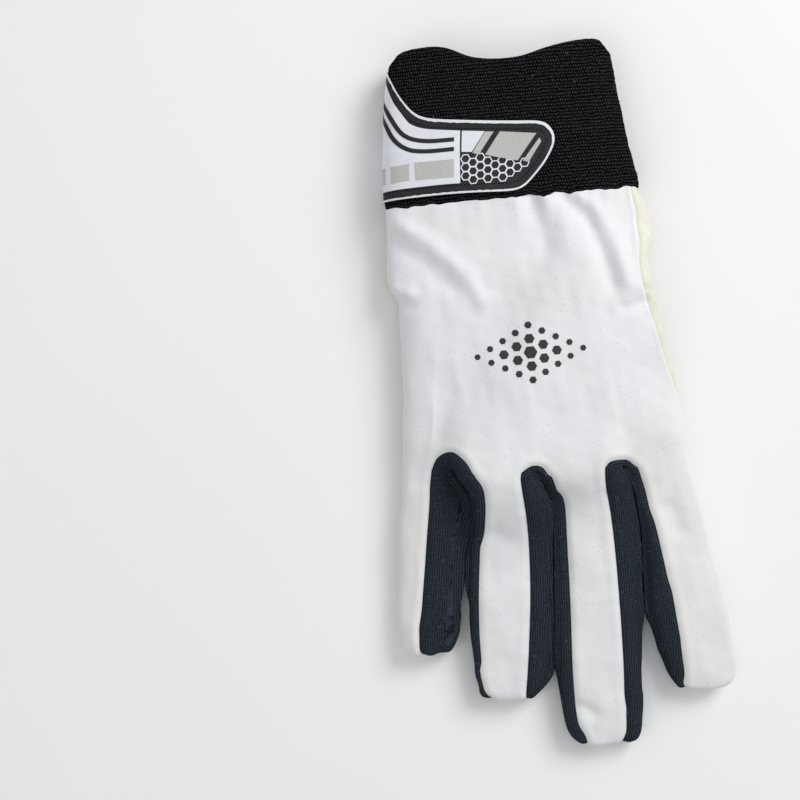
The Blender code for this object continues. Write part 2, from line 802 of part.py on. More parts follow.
def badge_stations(limit, whole):
    """Distances round the cuff at its own facets, and at the end of a piece of the badge."""
    stations = [0.0]
    facet = 0
    while True:
        step = cuff_point(facet + 1, 0.0, 0.0) - cuff_point(facet, 0.0, 0.0)
        if stations[-1] + step.length > whole * 0.86:
            break
        stations.append(stations[-1] + step.length)
        facet += 1
    last = stations[-1]
    stations += [last + (limit - last) * k / 3 for k in (1, 2, 3)]
    return [-s for s in reversed(stations[1:])] + stations


def badge_outline(limit, whole, inset):
    """Rows of (distance round the cuff, low edge, high edge) for a piece of the badge."""
    return [
        (reach, badge_edge("low", reach, inset), badge_edge("high", reach, inset))
        for reach in badge_stations(limit, whole)
    ]


def badge_surface(outline, out):
    """A face inside an outline, at a height over the cuff."""
    return grid_mesh("badge", [
        [wrap_point(reach, low + (high - low) * r / BADGE_ROWS, out)
         for reach, low, high in outline]
        for r in range(BADGE_ROWS + 1)
    ], False)


def badge_rim_mesh():
    """The raised rim round the badge, as one closed ring."""
    path = []
    for inset in (0.0, BADGE_RIM_WIDTH):
        outline = badge_outline(BADGE_REACH - 1.5 * inset, BADGE_REACH, inset)
        path.append([(reach, low) for reach, low, high in outline]
                    + [(reach, high) for reach, low, high in reversed(outline)])
    inner = BADGE_GAP
    outer = BADGE_GAP + BADGE_RIM_THICKNESS
    rings = [
        [wrap_point(*outside, inner), wrap_point(*outside, outer),
         wrap_point(*inside, outer), wrap_point(*inside, inner)]
        for outside, inside in zip(*path)
    ]
    mesh = grid_mesh("badge_rim", rings + [rings[0]], True)
    shape = bmesh.new()
    shape.from_mesh(mesh)
    bmesh.ops.remove_doubles(shape, verts=shape.verts[:], dist=1e-7)
    bmesh.ops.recalc_face_normals(shape, faces=shape.faces[:])
    shape.to_mesh(mesh)
    shape.free()
    return mesh


def clear_scene():
    for thing in list(bpy.data.objects):
        bpy.data.objects.remove(thing, do_unlink=True)


def stand_on_origin(glove, pieces):
    """Moves the glove so that its box's bottom centre is at the origin."""
    bpy.context.view_layer.update()
    graph = bpy.context.evaluated_depsgraph_get()
    corners = []
    for piece in pieces:
        shape = piece.evaluated_get(graph).to_mesh()
        corners += [vertex.co.copy() for vertex in shape.vertices]
    low = [min(c[i] for c in corners) for i in range(3)]
    high = [max(c[i] for c in corners) for i in range(3)]
    glove.location = (-(low[0] + high[0]) / 2, -(low[1] + high[1]) / 2, -low[2])


def build():
    clear_scene()
    collection = bpy.data.collections.new("wicketkeeping_inner_glove")
    bpy.context.scene.collection.children.link(collection)
    glove = bpy.data.objects.new("glove", None)
    collection.objects.link(glove)
    skin, names = smoothed_skin()
    walls = {"back_panel": ("back_cloth", BACK_WALL),
             "palm_panel": ("chamois", PALM_WALL),
             "thumb": ("chamois", THUMB_WALL)}
    pieces = []
    for index, name in enumerate(names):
        finish, wall = walls.get(name, ("side_knit", SIDE_WALL))
        piece = place(panel_from_skin(skin, index), name, finish, glove, collection)
        thicken(piece, wall, -1.0)
        pieces.append(piece)
    bpy.data.meshes.remove(skin)
    cuff = place(cuff_surface(), "cuff", "cuff_knit", glove, collection)
    thicken(cuff, CUFF_WALL, -1.0)
    inset = BADGE_RIM_WIDTH + BADGE_GAP
    outline = badge_outline(BADGE_REACH - 1.5 * inset, BADGE_REACH, inset)
    plate = badge_surface(outline, BADGE_GAP)
    badge = place(plate, "badge", "badge_black", glove, collection)
    thicken(badge, BADGE_THICKNESS, 1.0)
    rim = place(badge_rim_mesh(), "badge_rim", "badge_white", glove, collection)
    outline = badge_outline(BADGE_PANEL_REACH, BADGE_PANEL_REACH, BADGE_BORDER)
    face = badge_surface(outline, 2 * BADGE_GAP + BADGE_THICKNESS)
    panel = place(face, "badge_panel", "badge_white", glove, collection)
    thicken(panel, BADGE_PANEL_THICKNESS, 1.0)
    pieces += [cuff, badge, rim, panel]
    stand_on_origin(glove, pieces)


build()
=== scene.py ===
"""The looks of a right-hand wicketkeeping inner glove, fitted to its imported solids.

The hand is one coarse cage of quads, smoothed finely, shaped with folds and seams, and cut into
the panels that the glove is sewn from. The badge is made flat and then wrapped round the cuff.
"""

import math
from collections import namedtuple

import bmesh
import bpy
import numpy as np
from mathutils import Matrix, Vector
from mathutils.bvhtree import BVHTree
from mathutils.kdtree import KDTree


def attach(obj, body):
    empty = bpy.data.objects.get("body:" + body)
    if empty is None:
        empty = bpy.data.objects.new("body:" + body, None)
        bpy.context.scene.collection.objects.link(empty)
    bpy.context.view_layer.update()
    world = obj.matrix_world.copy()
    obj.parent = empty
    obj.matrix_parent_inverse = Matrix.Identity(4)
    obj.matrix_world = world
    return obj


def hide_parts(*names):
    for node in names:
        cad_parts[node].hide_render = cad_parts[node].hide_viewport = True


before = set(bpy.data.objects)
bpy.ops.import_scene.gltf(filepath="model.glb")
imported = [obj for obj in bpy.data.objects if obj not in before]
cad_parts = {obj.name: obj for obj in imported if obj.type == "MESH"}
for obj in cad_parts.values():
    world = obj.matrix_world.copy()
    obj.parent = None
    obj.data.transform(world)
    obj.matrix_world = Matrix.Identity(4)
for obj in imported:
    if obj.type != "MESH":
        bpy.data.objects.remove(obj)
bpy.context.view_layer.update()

bl_info = {
    "name": "Wicketkeeping inner glove",
    "version": (1, 0, 0),
    "blender": (4, 5, 0),
    "location": "3D View > Sidebar > Inner glove",
    "description": "Builds the cloth, chamois, knit, cuff and badge of an inner glove",
    "category": "Add Mesh",
}

# Where the middle of the wrist seam lies in the frame.
WRIST_PLACE = (-0.0058857, 0.0716726, -0.0000641)
# How many times the hand's cage is smoothed.
FINE_LEVELS = 4

# Driving sizes, in metres.
PALM_WIDTH = 0.100
HAND_LENGTH = 0.100
HAND_THICKNESS = 0.0165
FINGER_THICKNESS = 0.0118
CUFF_HEIGHT = 0.0565
CUFF_WIDTH = 0.0925
CUFF_THICKNESS = 0.0150
THUMB_LENGTH = 0.064
THUMB_WIDTH = 0.027
THUMB_THICKNESS = 0.0096
THUMB_CLEARANCE = 0.0020
BACK_WALL = 0.0011
PALM_WALL = 0.0013
SIDE_WALL = 0.0011
THUMB_WALL = 0.0012
CUFF_WALL = 0.0024
SEAM_GAP = 0.0004
BADGE_REACH = 0.0646
BADGE_THICKNESS = 0.0012
BADGE_RIM_WIDTH = 0.0013
BADGE_BORDER = 0.0042
BADGE_PANEL_REACH = 0.0305
BADGE_PANEL_THICKNESS = 0.0006
BADGE_GAP = 0.0003
# The badge wraps under the cuff, which therefore lies this much above the ground.
CUFF_LIFT = 2 * BADGE_GAP + BADGE_THICKNESS + BADGE_PANEL_THICKNESS

# Roundness of the flattened sections: 2 is an ellipse, more is flatter with tighter sides.
FINGER_ROUNDNESS = 2.4
HAND_ROUNDNESS = 3.3
# The height of the hand's side seam, as a share of its thickness.
SIDE_SHARE = 0.38

# A finger's root is a share of HAND_LENGTH from the wrist seam.
Finger = namedtuple("Finger", "name root length outer_left outer_right")
FINGERS = (
    Finger("little", 0.970, 0.0640, True, False),
    Finger("ring", 0.985, 0.0815, False, False),
    Finger("middle", 1.000, 0.0994, False, False),
    Finger("index", 1.000, 0.0824, False, True),
)

# Cross sections of each finger. along is a share of its length from the root. left and right are
# its two sides, and seam_left and seam_right the edges of its back strip: shares of PALM_WIDTH
# from the wrist's centreline. tall is a share of FINGER_THICKNESS.
Section = namedtuple("Section", "along left right seam_left seam_right tall")
SECTIONS = {
    "little": (
        Section(0.000, -0.481, -0.298, -0.462, -0.384, 1.10),
        Section(0.130, -0.491, -0.241, -0.472, -0.392, 1.05),
        Section(0.300, -0.509, -0.252, -0.489, -0.412, 1.00),
        Section(0.520, -0.528, -0.288, -0.509, -0.433, 0.96),
        Section(0.760, -0.543, -0.305, -0.524, -0.460, 0.90),
        Section(0.940, -0.540, -0.326, -0.522, -0.470, 0.86),
    ),
    "ring": (
        Section(0.000, -0.288, -0.004, -0.228, -0.049, 1.16),
        Section(0.130, -0.236, 0.045, -0.200, -0.052, 1.08),
        Section(0.300, -0.262, 0.041, -0.225, -0.039, 1.03),
        Section(0.520, -0.288, 0.031, -0.245, -0.047, 0.98),
        Section(0.760, -0.288, 0.014, -0.261, -0.070, 0.92),
        Section(0.950, -0.272, -0.002, -0.244, -0.094, 0.80),
    ),
    "middle": (
        Section(0.000, 0.013, 0.304, 0.052, 0.250, 1.20),
        Section(0.130, 0.049, 0.358, 0.084, 0.260, 1.12),
        Section(0.300, 0.045, 0.361, 0.076, 0.267, 1.05),
        Section(0.520, 0.035, 0.342, 0.070, 0.268, 1.00),
        Section(0.760, 0.012, 0.324, 0.053, 0.264, 0.94),
        Section(0.955, 0.026, 0.316, 0.062, 0.250, 0.80),
    ),
    "index": (
        Section(0.000, 0.316, 0.562, 0.363, 0.535, 1.14),
        Section(0.130, 0.362, 0.573, 0.384, 0.552, 1.08),
        Section(0.300, 0.365, 0.597, 0.408, 0.576, 1.02),
        Section(0.520, 0.349, 0.628, 0.435, 0.604, 0.98),
        Section(0.760, 0.368, 0.658, 0.450, 0.634, 0.92),
        Section(0.950, 0.410, 0.664, 0.454, 0.640, 0.80),
    ),
}

# The hand between the wrist seam and the fingers. along is a share of HAND_LENGTH, left and right
# are shares of PALM_WIDTH, and thumb_seam is how far the palm leather comes up over the thumb
# side, as a share of PALM_WIDTH. tall is a share of HAND_THICKNESS.
HandSection = namedtuple("HandSection", "along left right thumb_seam tall")
HAND = (
    HandSection(0.00, -0.466, 0.466, 0.038, 0.90),
    HandSection(0.12, -0.464, 0.484, 0.050, 0.98),
    HandSection(0.25, -0.474, 0.472, 0.043, 1.02),
    HandSection(0.38, -0.448, 0.476, 0.040, 1.04),
    HandSection(0.54, -0.446, 0.508, 0.034, 1.04),
    HandSection(0.72, -0.456, 0.530, 0.002, 1.02),
    HandSection(0.88, -0.470, 0.556, 0.000, 1.00),
)

# The webs between the fingers: where each starts on the back and on the palm, as shares of
# HAND_LENGTH from the wrist seam, and its place across, as a share of PALM_WIDTH.
Web = namedtuple("Web", "name across back palm")
WEBS = (
    Web("little_ring", -0.298, 0.870, 0.915),
    Web("ring_middle", 0.004, 0.965, 0.945),
    Web("middle_index", 0.312, 0.965, 0.950),
)

# The thumb lies under the palm. Its ends are (across, along) shares as above.
THUMB_ROOT = (0.330, 0.36)
THUMB_TIP = (-0.020, 0.900)
ThumbSection = namedtuple("ThumbSection", "along wide tall")
THUMB = (
    ThumbSection(0.38, 1.05, 1.00),
    ThumbSection(0.58, 1.00, 1.00),
    ThumbSection(0.78, 0.93, 0.96),
    ThumbSection(0.93, 0.72, 0.82),
)

# The cuff's edge round the opening: across is a share of half its width, and back and palm are
# the heights of its two layers as shares of CUFF_HEIGHT.
CuffEdge = namedtuple("CuffEdge", "across back palm")
CUFF_EDGE = (
    CuffEdge(-1.00, 0.925, 0.925),
    CuffEdge(-0.90, 0.980, 0.950),
    CuffEdge(-0.68, 1.000, 0.955),
    CuffEdge(-0.50, 0.985, 0.950),
    CuffEdge(-0.22, 0.906, 0.895),
    CuffEdge(0.15, 0.888, 0.875),
    CuffEdge(0.46, 0.938, 0.920),
    CuffEdge(0.70, 0.964, 0.945),
    CuffEdge(0.90, 0.955, 0.940),
    CuffEdge(1.00, 0.885, 0.885),
)
# The cuff at shares of its height. middle and wide are shares of CUFF_WIDTH, and tall is a share
# of CUFF_THICKNESS.
CuffSection = namedtuple("CuffSection", "along middle wide tall")
CUFF = (
    CuffSection(0.00, 0.000, 1.000, 1.00),
    CuffSection(0.35, -0.010, 0.949, 0.98),
    CuffSection(0.70, -0.010, 0.897, 0.96),
    CuffSection(1.00, -0.002, 0.845, 0.98),
)

# The badge's outline: reach is a share of BADGE_REACH from the little finger side of the cuff,
# and low and high are its two edges as shares of CUFF_HEIGHT above the wrist seam.
BadgeEdge = namedtuple("BadgeEdge", "reach low high")
BADGE = (
    BadgeEdge(0.000, 0.043, 0.895),
    BadgeEdge(0.030, 0.044, 0.868),
    BadgeEdge(0.065, 0.045, 0.818),
    BadgeEdge(0.115, 0.048, 0.723),
    BadgeEdge(0.158, 0.050, 0.656),
    BadgeEdge(0.214, 0.051, 0.584),
    BadgeEdge(0.272, 0.052, 0.549),
    BadgeEdge(0.385, 0.053, 0.525),
    BadgeEdge(0.582, 0.047, 0.498),
    BadgeEdge(0.763, 0.039, 0.479),
    BadgeEdge(0.825, 0.056, 0.473),
    BadgeEdge(0.893, 0.134, 0.466),
    BadgeEdge(0.950, 0.210, 0.450),
    BadgeEdge(1.000, 0.318, 0.372),
)

# The back and the palm each have a seam on both sides of every finger, and one at every web.
HAND_COLUMNS = 2 * len(FINGERS) + len(WEBS)
OUTER_SHARE = 0.80
# A fingertip's cage reaches this much further than the finger, as it is rounded off.
TIP_REACH = 1.15
# The valley between two fingers lies this far behind their roots.
WEB_DEPTH = 0.0014
# The thumb grows out of the palm under the index finger's columns, between these hand sections.
THUMB_ROWS = (2, 4)
THUMB_COLUMNS = 3
THUMB_CORNERS = 10


# Soft folds on the back of the hand. Points are (across, along) in metres from the middle of the
# wrist seam, and a negative height is a dent.
Fold = namedtuple("Fold", "points width height")
FOLDS = (
    Fold(((0.0180, -0.0010), (0.0245, -0.0085), (0.0275, -0.0165), (0.0300, -0.0260),
          (0.0320, -0.0350)), 0.0032, -0.0010),
    Fold(((0.0240, -0.0020), (0.0305, -0.0090), (0.0338, -0.0180), (0.0365, -0.0270),
          (0.0390, -0.0350)), 0.0034, 0.0010),
    Fold(((0.0060, -0.0010), (0.0085, -0.0110), (0.0100, -0.0190)), 0.0038, -0.0007),
    Fold(((0.0130, -0.0020), (0.0165, -0.0110), (0.0180, -0.0200)), 0.0036, 0.0006),
    Fold(((-0.0420, -0.0060), (-0.0300, -0.0150), (-0.0200, -0.0258), (-0.0149, -0.0353)),
         0.0034, 0.0010),
    Fold(((-0.0460, -0.0110), (-0.0350, -0.0195), (-0.0250, -0.0300)), 0.0040, -0.0007),
    Fold(((-0.0500, -0.0290), (-0.0410, -0.0310)), 0.0030, 0.0009),
    Fold(((-0.0480, -0.0345), (-0.0400, -0.0350)), 0.0026, -0.0008),
    Fold(((0.0360, -0.0430), (0.0440, -0.0415)), 0.0024, -0.0006),
    Fold(((0.0470, -0.1160), (0.0492, -0.1235)), 0.0036, -0.0007),
    Fold(((-0.0170, -0.1200), (-0.0135, -0.1220)), 0.0034, -0.0005),
    Fold(((0.0085, -0.1845), (0.0130, -0.1875)), 0.0026, -0.0007),
    Fold(((0.0440, -0.0365), (0.0480, -0.0375)), 0.0012, -0.0006),
)
# Gathers in the cloth where it meets the cuff: across, how long, and how high, in metres.
Gather = namedtuple("Gather", "across length height")
GATHERS = (
    Gather(-0.0380, 0.0050, 0.0003), Gather(-0.0270, 0.0045, 0.0002),
    Gather(-0.0120, 0.0055, 0.0003), Gather(0.0010, 0.0060, 0.0005),
    Gather(0.0060, 0.0070, -0.0005), Gather(0.0105, 0.0080, 0.0006),
    Gather(0.0150, 0.0070, -0.0006), Gather(0.0200, 0.0085, 0.0006),
    Gather(0.0262, 0.0070, -0.0005), Gather(0.0330, 0.0060, 0.0004),
    Gather(0.0400, 0.0050, -0.0003),
)
GATHER_WIDTH = 0.0019
SCALLOP_WIDTH = 0.0013

# Where the knit sides of two fingers lie against each other: down to this far along the hand.
Valley = namedtuple("Valley", "name end")
VALLEYS = (
    Valley("side_little_ring", -0.1382),
    Valley("side_ring_middle", -0.1702),
    Valley("side_middle_index", -0.1532),
)
VALLEY_REACH = 0.0050
VALLEY_GAP = 0.00004

# Places where the skin is moved in plan: along which line, how far, and over what radius, in
# metres.
Nudge = namedtuple("Nudge", "points sideways lengthways radius")
NUDGES = (
    Nudge(((-0.0342, -0.0925),), -0.0010, 0.0012, 0.0044),
    Nudge(((-0.0235, -0.0925),), 0.0002, 0.0002, 0.0035),
    Nudge(((-0.0214, -0.0971),), -0.0010, -0.0006, 0.0036),
    Nudge(((-0.0259, -0.1056), (-0.0265, -0.1167)), 0.0010, 0.0, 0.0042),
    Nudge(((-0.0058, -0.0993),), -0.0003, 0.0, 0.0034),
    Nudge(((0.0012, -0.0955),), 0.0, -0.0009, 0.0032),
    Nudge(((0.0061, -0.0993), (0.0080, -0.1040)), -0.0020, -0.0012, 0.0038),
    Nudge(((0.0262, -0.0980),), -0.0006, 0.0008, 0.0032),
    Nudge(((0.0312, -0.0955),), 0.0, -0.0012, 0.0034),
    Nudge(((0.0367, -0.0987), (0.0378, -0.1030)), -0.0009, -0.0010, 0.0036),
    Nudge(((0.0393, -0.1080), (0.0398, -0.1150)), -0.0007, 0.0, 0.0040),
    Nudge(((-0.0218, -0.1250), (-0.0237, -0.1466), (-0.0242, -0.1628), (-0.0232, -0.1756)),
          -0.0011, 0.0, 0.0036),
    Nudge(((-0.0238, -0.1700), (-0.0228, -0.1775)), -0.0013, 0.0005, 0.0032),
    Nudge(((-0.0285, -0.1745),), 0.0006, 0.0, 0.0026),
    Nudge(((0.0240, -0.1870), (0.0242, -0.1940)), 0.0006, 0.0, 0.0030),
    Nudge(((0.0450, -0.1640), (0.0458, -0.1765)), 0.0008, 0.0, 0.0034),
    Nudge(((0.0405, -0.1700), (0.0440, -0.1790)), 0.0005, 0.0003, 0.0026),
    Nudge(((-0.0360, -0.1571),), -0.0002, -0.0034, 0.0044),
    Nudge(((-0.0437, -0.1589),), 0.0, -0.0019, 0.0042),
    Nudge(((-0.0460, -0.1520), (-0.0467, -0.1570)), -0.0008, 0.0, 0.0050),
    Nudge(((-0.0093, -0.1786),), 0.0, -0.0011, 0.0040),
    Nudge(((0.0447, -0.1472), (0.0456, -0.1581)), 0.0007, 0.0, 0.0044),
    Nudge(((0.0469, -0.1802),), -0.0009, 0.0, 0.0034),
    Nudge(((0.0090, -0.1964),), 0.0018, 0.0, 0.0036),
    Nudge(((0.0275, -0.1955),), 0.0004, -0.0017, 0.0042),
    Nudge(((-0.0478, -0.0265),), -0.0009, 0.0, 0.0060),
    Nudge(((-0.0462, -0.0335),), 0.0014, 0.0, 0.0032),
    Nudge(((0.0475, -0.0075), (0.0480, -0.0190)), 0.0017, 0.0, 0.0042),
    Nudge(((0.0475, -0.0300),), -0.0006, 0.0, 0.0040),
)

# The badge's artwork lies flat at first: (round the cuff from its little finger side, up from the
# wrist seam), in metres.
Shape = namedtuple("Shape", "name finish corners")
# The honeycomb: from one cell to the next, and the width that its lines are measured by.
HEXAGON_PITCH = 0.00305
HEXAGON_LINE = 0.00036


def across(share):
    return share * PALM_WIDTH


def along(share):
    return -share * HAND_LENGTH


def rounded(angle, power):
    """The point of a unit flattened circle at this angle, as (sideways, upwards)."""
    c, s = math.cos(angle), math.sin(angle)
    return (
        math.copysign(abs(c) ** (2 / power), c),
        math.copysign(abs(s) ** (2 / power), s),
    )


def angle_at(share, power):
    """The angle on the upper half of a flattened circle whose sideways share is this."""
    share = max(-1.0, min(1.0, share))
    return math.acos(math.copysign(abs(share) ** (power / 2), share))


def smooth_step(value):
    value = max(0.0, min(1.0, value))
    return value * value * (3 - 2 * value)


def read_curve(places, values, at):
    """A smooth curve through the values, read at one place."""
    if at <= places[0]:
        return values[0]
    if at >= places[-1]:
        return values[-1]
    i = max(k for k in range(len(places) - 1) if places[k] <= at)
    slopes = []
    for k in (i, i + 1):
        lower, upper = max(k - 1, 0), min(k + 1, len(places) - 1)
        slopes.append((values[upper] - values[lower]) / (places[upper] - places[lower]))
    span = places[i + 1] - places[i]
    t = (at - places[i]) / span
    return (
        values[i] * (1 + 2 * t) * (1 - t) ** 2
        + values[i + 1] * t * t * (3 - 2 * t)
        + span * t * (1 - t) * (slopes[0] * (1 - t) - slopes[1] * t)
    )


def column(table, field):
    return [getattr(row, field) for row in table]


def distance_to_line(x, y, start, end):
    """How far a point is from a straight stretch between two points in plan."""
    point, a, b = Vector((x, y)), Vector(start), Vector(end)
    t = max(0.0, min(1.0, (point - a).dot(b - a) / (b - a).length_squared))
    return (point - a - t * (b - a)).length


def thumb_end(shares):
    return across(shares[0]), along(shares[1])


# The palm is lifted fully out to this many half widths of the thumb, and falls over this many
# more.
RISE_FLAT = 1.15
RISE_FALL = 1.3


def palm_rise(x, y):
    """How far the thumb underneath lifts the palm at this point."""
    half = THUMB_WIDTH / 2
    away = distance_to_line(x, y, thumb_end(THUMB_ROOT), thumb_end(THUMB_TIP))
    share = 1 - smooth_step((away - RISE_FLAT * half) / (RISE_FALL * half))
    return (THUMB_THICKNESS + THUMB_CLEARANCE) * share


# Where the palm strip's seam lies under a finger, in degrees below its side, and where the
# corners of a finger's outer side lie.
PALM_SEAM_DEGREES = 64
OUTER_DEGREES = (8, 36)


def finger_angles(section, finger):
    """Where the ten corners of a finger's section lie, clockwise from its left back seam."""
    middle = (section.left + section.right) / 2
    half = (section.right - section.left) / 2
    left = angle_at((section.seam_left - middle) / half, FINGER_ROUNDNESS)
    right = angle_at((section.seam_right - middle) / half, FINGER_ROUNDNESS)
    low_right = -math.radians(PALM_SEAM_DEGREES)
    low_left = -math.radians(180 - PALM_SEAM_DEGREES)
    turn = left - 2 * math.pi
    side = [right + (low_right - right) * k / 4 for k in (1, 2, 3)]
    other = [low_left + (turn - low_left) * k / 4 for k in (1, 2, 3)]
    if finger.outer_right:
        side[1:] = [-math.radians(d) for d in OUTER_DEGREES]
    if finger.outer_left:
        other[:2] = [-math.radians(180 - d) for d in reversed(OUTER_DEGREES)]
    return [left, right] + side + [low_right, low_left] + other


def finger_point(section, finger, angle, forward=0.0):
    """A point on a finger's section. forward moves it towards the fingertip."""
    middle = across((section.left + section.right) / 2)
    half = across((section.right - section.left) / 2)
    y = along(finger.root) - finger.length * section.along - forward
    tall = FINGER_THICKNESS * section.tall
    low = palm_rise(middle, y)
    sideways, up = rounded(angle, FINGER_ROUNDNESS)
    return Vector((middle + half * sideways, y, low + tall * (1 + up) / 2))


# The hand takes over from the cuff's section within this share of HAND_LENGTH, and the back
# follows this share of the lift over the thumb.
WRIST_BLEND = 0.28
BACK_RISE = 0.55


def wrist_share(y):
    """How much of the cuff's own section the hand still has at this distance from the wrist."""
    return 1 - smooth_step(-y / (WRIST_BLEND * HAND_LENGTH))


def hand_levels(x, y, tall):
    """The heights of the palm, of the side seam and of the back at this point."""
    wrist = wrist_share(y)
    rise = palm_rise(x, y)
    low = rise + (CUFF_LIFT - rise) * wrist
    high = HAND_THICKNESS * tall + BACK_RISE * rise
    high += (CUFF_LIFT + CUFF_THICKNESS - high) * wrist
    edge = low + (high - low) * (SIDE_SHARE + (0.5 - SIDE_SHARE) * wrist)
    return low, edge, high


def hand_point(row, share, up, y, tall):
    """A point on a section of the hand from its shares sideways and upwards."""
    wrist = wrist_share(y) ** 4
    middle = across((row.left + row.right) / 2) * (1 - wrist)
    half = across((row.right - row.left) / 2)
    half += (CUFF_WIDTH / 2 - half) * wrist
    x = middle + half * share
    low, edge, high = hand_levels(x, y, tall)
    z = edge + (high - edge) * up if up >= 0 else edge + (edge - low) * up
    return Vector((x, y, z))


# Smoothing keeps this share of a corner and adds this share of each neighbour.
KEPT_SHARE = 0.75
NEIGHBOUR_SHARE = 0.125
UNSMOOTH_STEPS = 14


def before_smoothing(ring):
    """The corners of a ring of the cage that smoothing moves to the points of this ring."""
    corners = list(ring)
    for _ in range(UNSMOOTH_STEPS):
        corners = [
            (point - (corners[i - 1] + corners[(i + 1) % len(ring)]) * NEIGHBOUR_SHARE)
            / KEPT_SHARE
            for i, point in enumerate(ring)
        ]
    return corners


class Cage:
    """Points and faces of the coarse hand, with the panel that each face belongs to."""

    def __init__(self):
        self.points = []
        self.faces = []
        self.panels = []

    def add(self, point):
        self.points.append(point)
        return len(self.points) - 1

    def face(self, panel, *corners):
        self.faces.append(corners)
        self.panels.append(panel)

    def middle(self, corners):
        return sum((self.points[c] for c in corners), Vector()) / len(corners)


def side_panel(side, level, name):
    """The panel of a side face: the outer sides are shared by the back and the palm."""
    if side:
        return "back_panel" if level < 2 else "palm_panel"
    return name


def add_finger(cage, number):
    """Adds one finger and returns its root ring."""
    finger = FINGERS[number]
    sections = SECTIONS[finger.name]
    rings = []
    for section in sections:
        ring = [finger_point(section, finger, a) for a in finger_angles(section, finger)]
        if rings:
            ring = before_smoothing(ring)
        rings.append([cage.add(point) for point in ring])
    right_name = "" if finger.outer_right else f"side_{WEBS[number].name}"
    left_name = "" if finger.outer_left else f"side_{WEBS[number - 1].name}"
    for upper, lower in zip(rings, rings[1:]):
        for k in range(10):
            if k == 0:
                panel = "back_panel"
            elif k < 5:
                panel = side_panel(finger.outer_right, k - 1, right_name)
            elif k == 5:
                panel = "palm_panel"
            else:
                panel = side_panel(finger.outer_left, 9 - k, left_name)
            n = (k + 1) % 10
            cage.face(panel, upper[k], upper[n], lower[n], lower[k])
    close_fingertip(cage, finger, sections[-1], rings[-1], left_name, right_name)
    return rings[0]


# The levels of a fingertip's inner corners, in degrees above its side.
TIP_DEGREES = (38, 0, -38)


def close_fingertip(cage, finger, section, ring, left_name, right_name):
    """Closes a finger with the ends of its back strip, its palm strip and its two sides."""
    forward = finger.length * (1 - section.along) * TIP_REACH
    angles = finger_angles(section, finger)
    levels = [math.radians(d) for d in TIP_DEGREES]
    centre = across((section.left + section.right) / 2)
    half = across((section.right - section.left) / 2)
    columns = []
    for k, bottom in ((0, 6), (1, 5)):
        back, _ = rounded(angles[k], FINGER_ROUNDNESS)
        palm, _ = rounded(angles[bottom], FINGER_ROUNDNESS)
        corners = [ring[k]]
        for step, level in enumerate(levels, 1):
            point = finger_point(section, finger, level, forward)
            point.x = centre + half * (back + (palm - back) * (step / 4) ** 2)
            corners.append(cage.add(point))
        columns.append(corners + [ring[bottom]])
    left, right = columns
    for level in range(4):
        panel = "back_panel" if level < 2 else "palm_panel"
        cage.face(panel, left[level], right[level], right[level + 1], left[level + 1])
    sides = (
        (left, [ring[0], ring[9], ring[8], ring[7], ring[6]], finger.outer_left, left_name),
        (right, [ring[1], ring[2], ring[3], ring[4], ring[5]], finger.outer_right, right_name),
    )
    for inner, outer, outside, name in sides:
        for level in range(4):
            corners = [inner[level], outer[level], outer[level + 1], inner[level + 1]]
            corners = [c for i, c in enumerate(corners) if c not in corners[:i]]
            cage.face(side_panel(outside, level, name), *corners)


# A web's inner points: the level, and how far it goes from the crotch to the web's end.
WEB_STEPS = ((1, 0.45), (2, 0.0), (3, 0.25))


def add_web(cage, number, left_ring, right_ring):
    """Adds the web between two fingers and returns its points on the back and on the palm."""
    web = WEBS[number]
    x = across(web.across)
    left = [left_ring[k] for k in (1, 2, 3, 4, 5)]
    right = [right_ring[k] for k in (0, 9, 8, 7, 6)]
    middle = [cage.add(Vector((x, along(web.back), hand_levels(x, along(web.back), 1.0)[2])))]
    crotch = cage.middle((left[2], right[2])).y + WEB_DEPTH
    for level, back_off in WEB_STEPS:
        point = cage.middle((left[level], right[level]))
        point.x = x
        end = along(web.back) if level < 2 else along(web.palm)
        point.y = crotch + (end - crotch) * back_off
        middle.append(cage.add(point))
    middle.append(cage.add(Vector((x, along(web.palm), palm_rise(x, along(web.palm))))))
    for level in range(4):
        for near, far in ((left, middle), (middle, right)):
            cage.face(f"side_{web.name}", near[level], far[level], far[level + 1],
                      near[level + 1])
    return middle[0], middle[-1]


def knuckle_ring(cage):
    """The hand's last ring, made of the roots of the fingers and the webs between them."""
    roots = [add_finger(cage, number) for number in range(len(FINGERS))]
    webs = [add_web(cage, n, roots[n], roots[n + 1]) for n in range(len(WEBS))]
    back, palm = [], []
    for number, root in enumerate(roots):
        back += root[0:2]
        palm = root[5:7] + palm
        if number < len(webs):
            back.append(webs[number][0])
            palm = [webs[number][1]] + palm
    return back + roots[-1][2:5] + palm + roots[0][7:10]


# How far the corners beside an outer side's seam lie towards the back's and palm's columns.
SIDE_SPREAD = 0.4


def side_angles(row):
    """Where the three corners of each outer side lie, from the back to the palm."""
    outer = angle_at(OUTER_SHARE, HAND_ROUNDNESS)
    width = row.right - row.left
    seam = angle_at(1 - 2 * row.thumb_seam / width, HAND_ROUNDNESS)
    spread = SIDE_SPREAD * outer
    right = [spread + (1 - SIDE_SPREAD) * seam, seam, 0.5 * seam - spread]
    left = [math.pi - spread, math.pi, math.pi + spread]
    return right, left


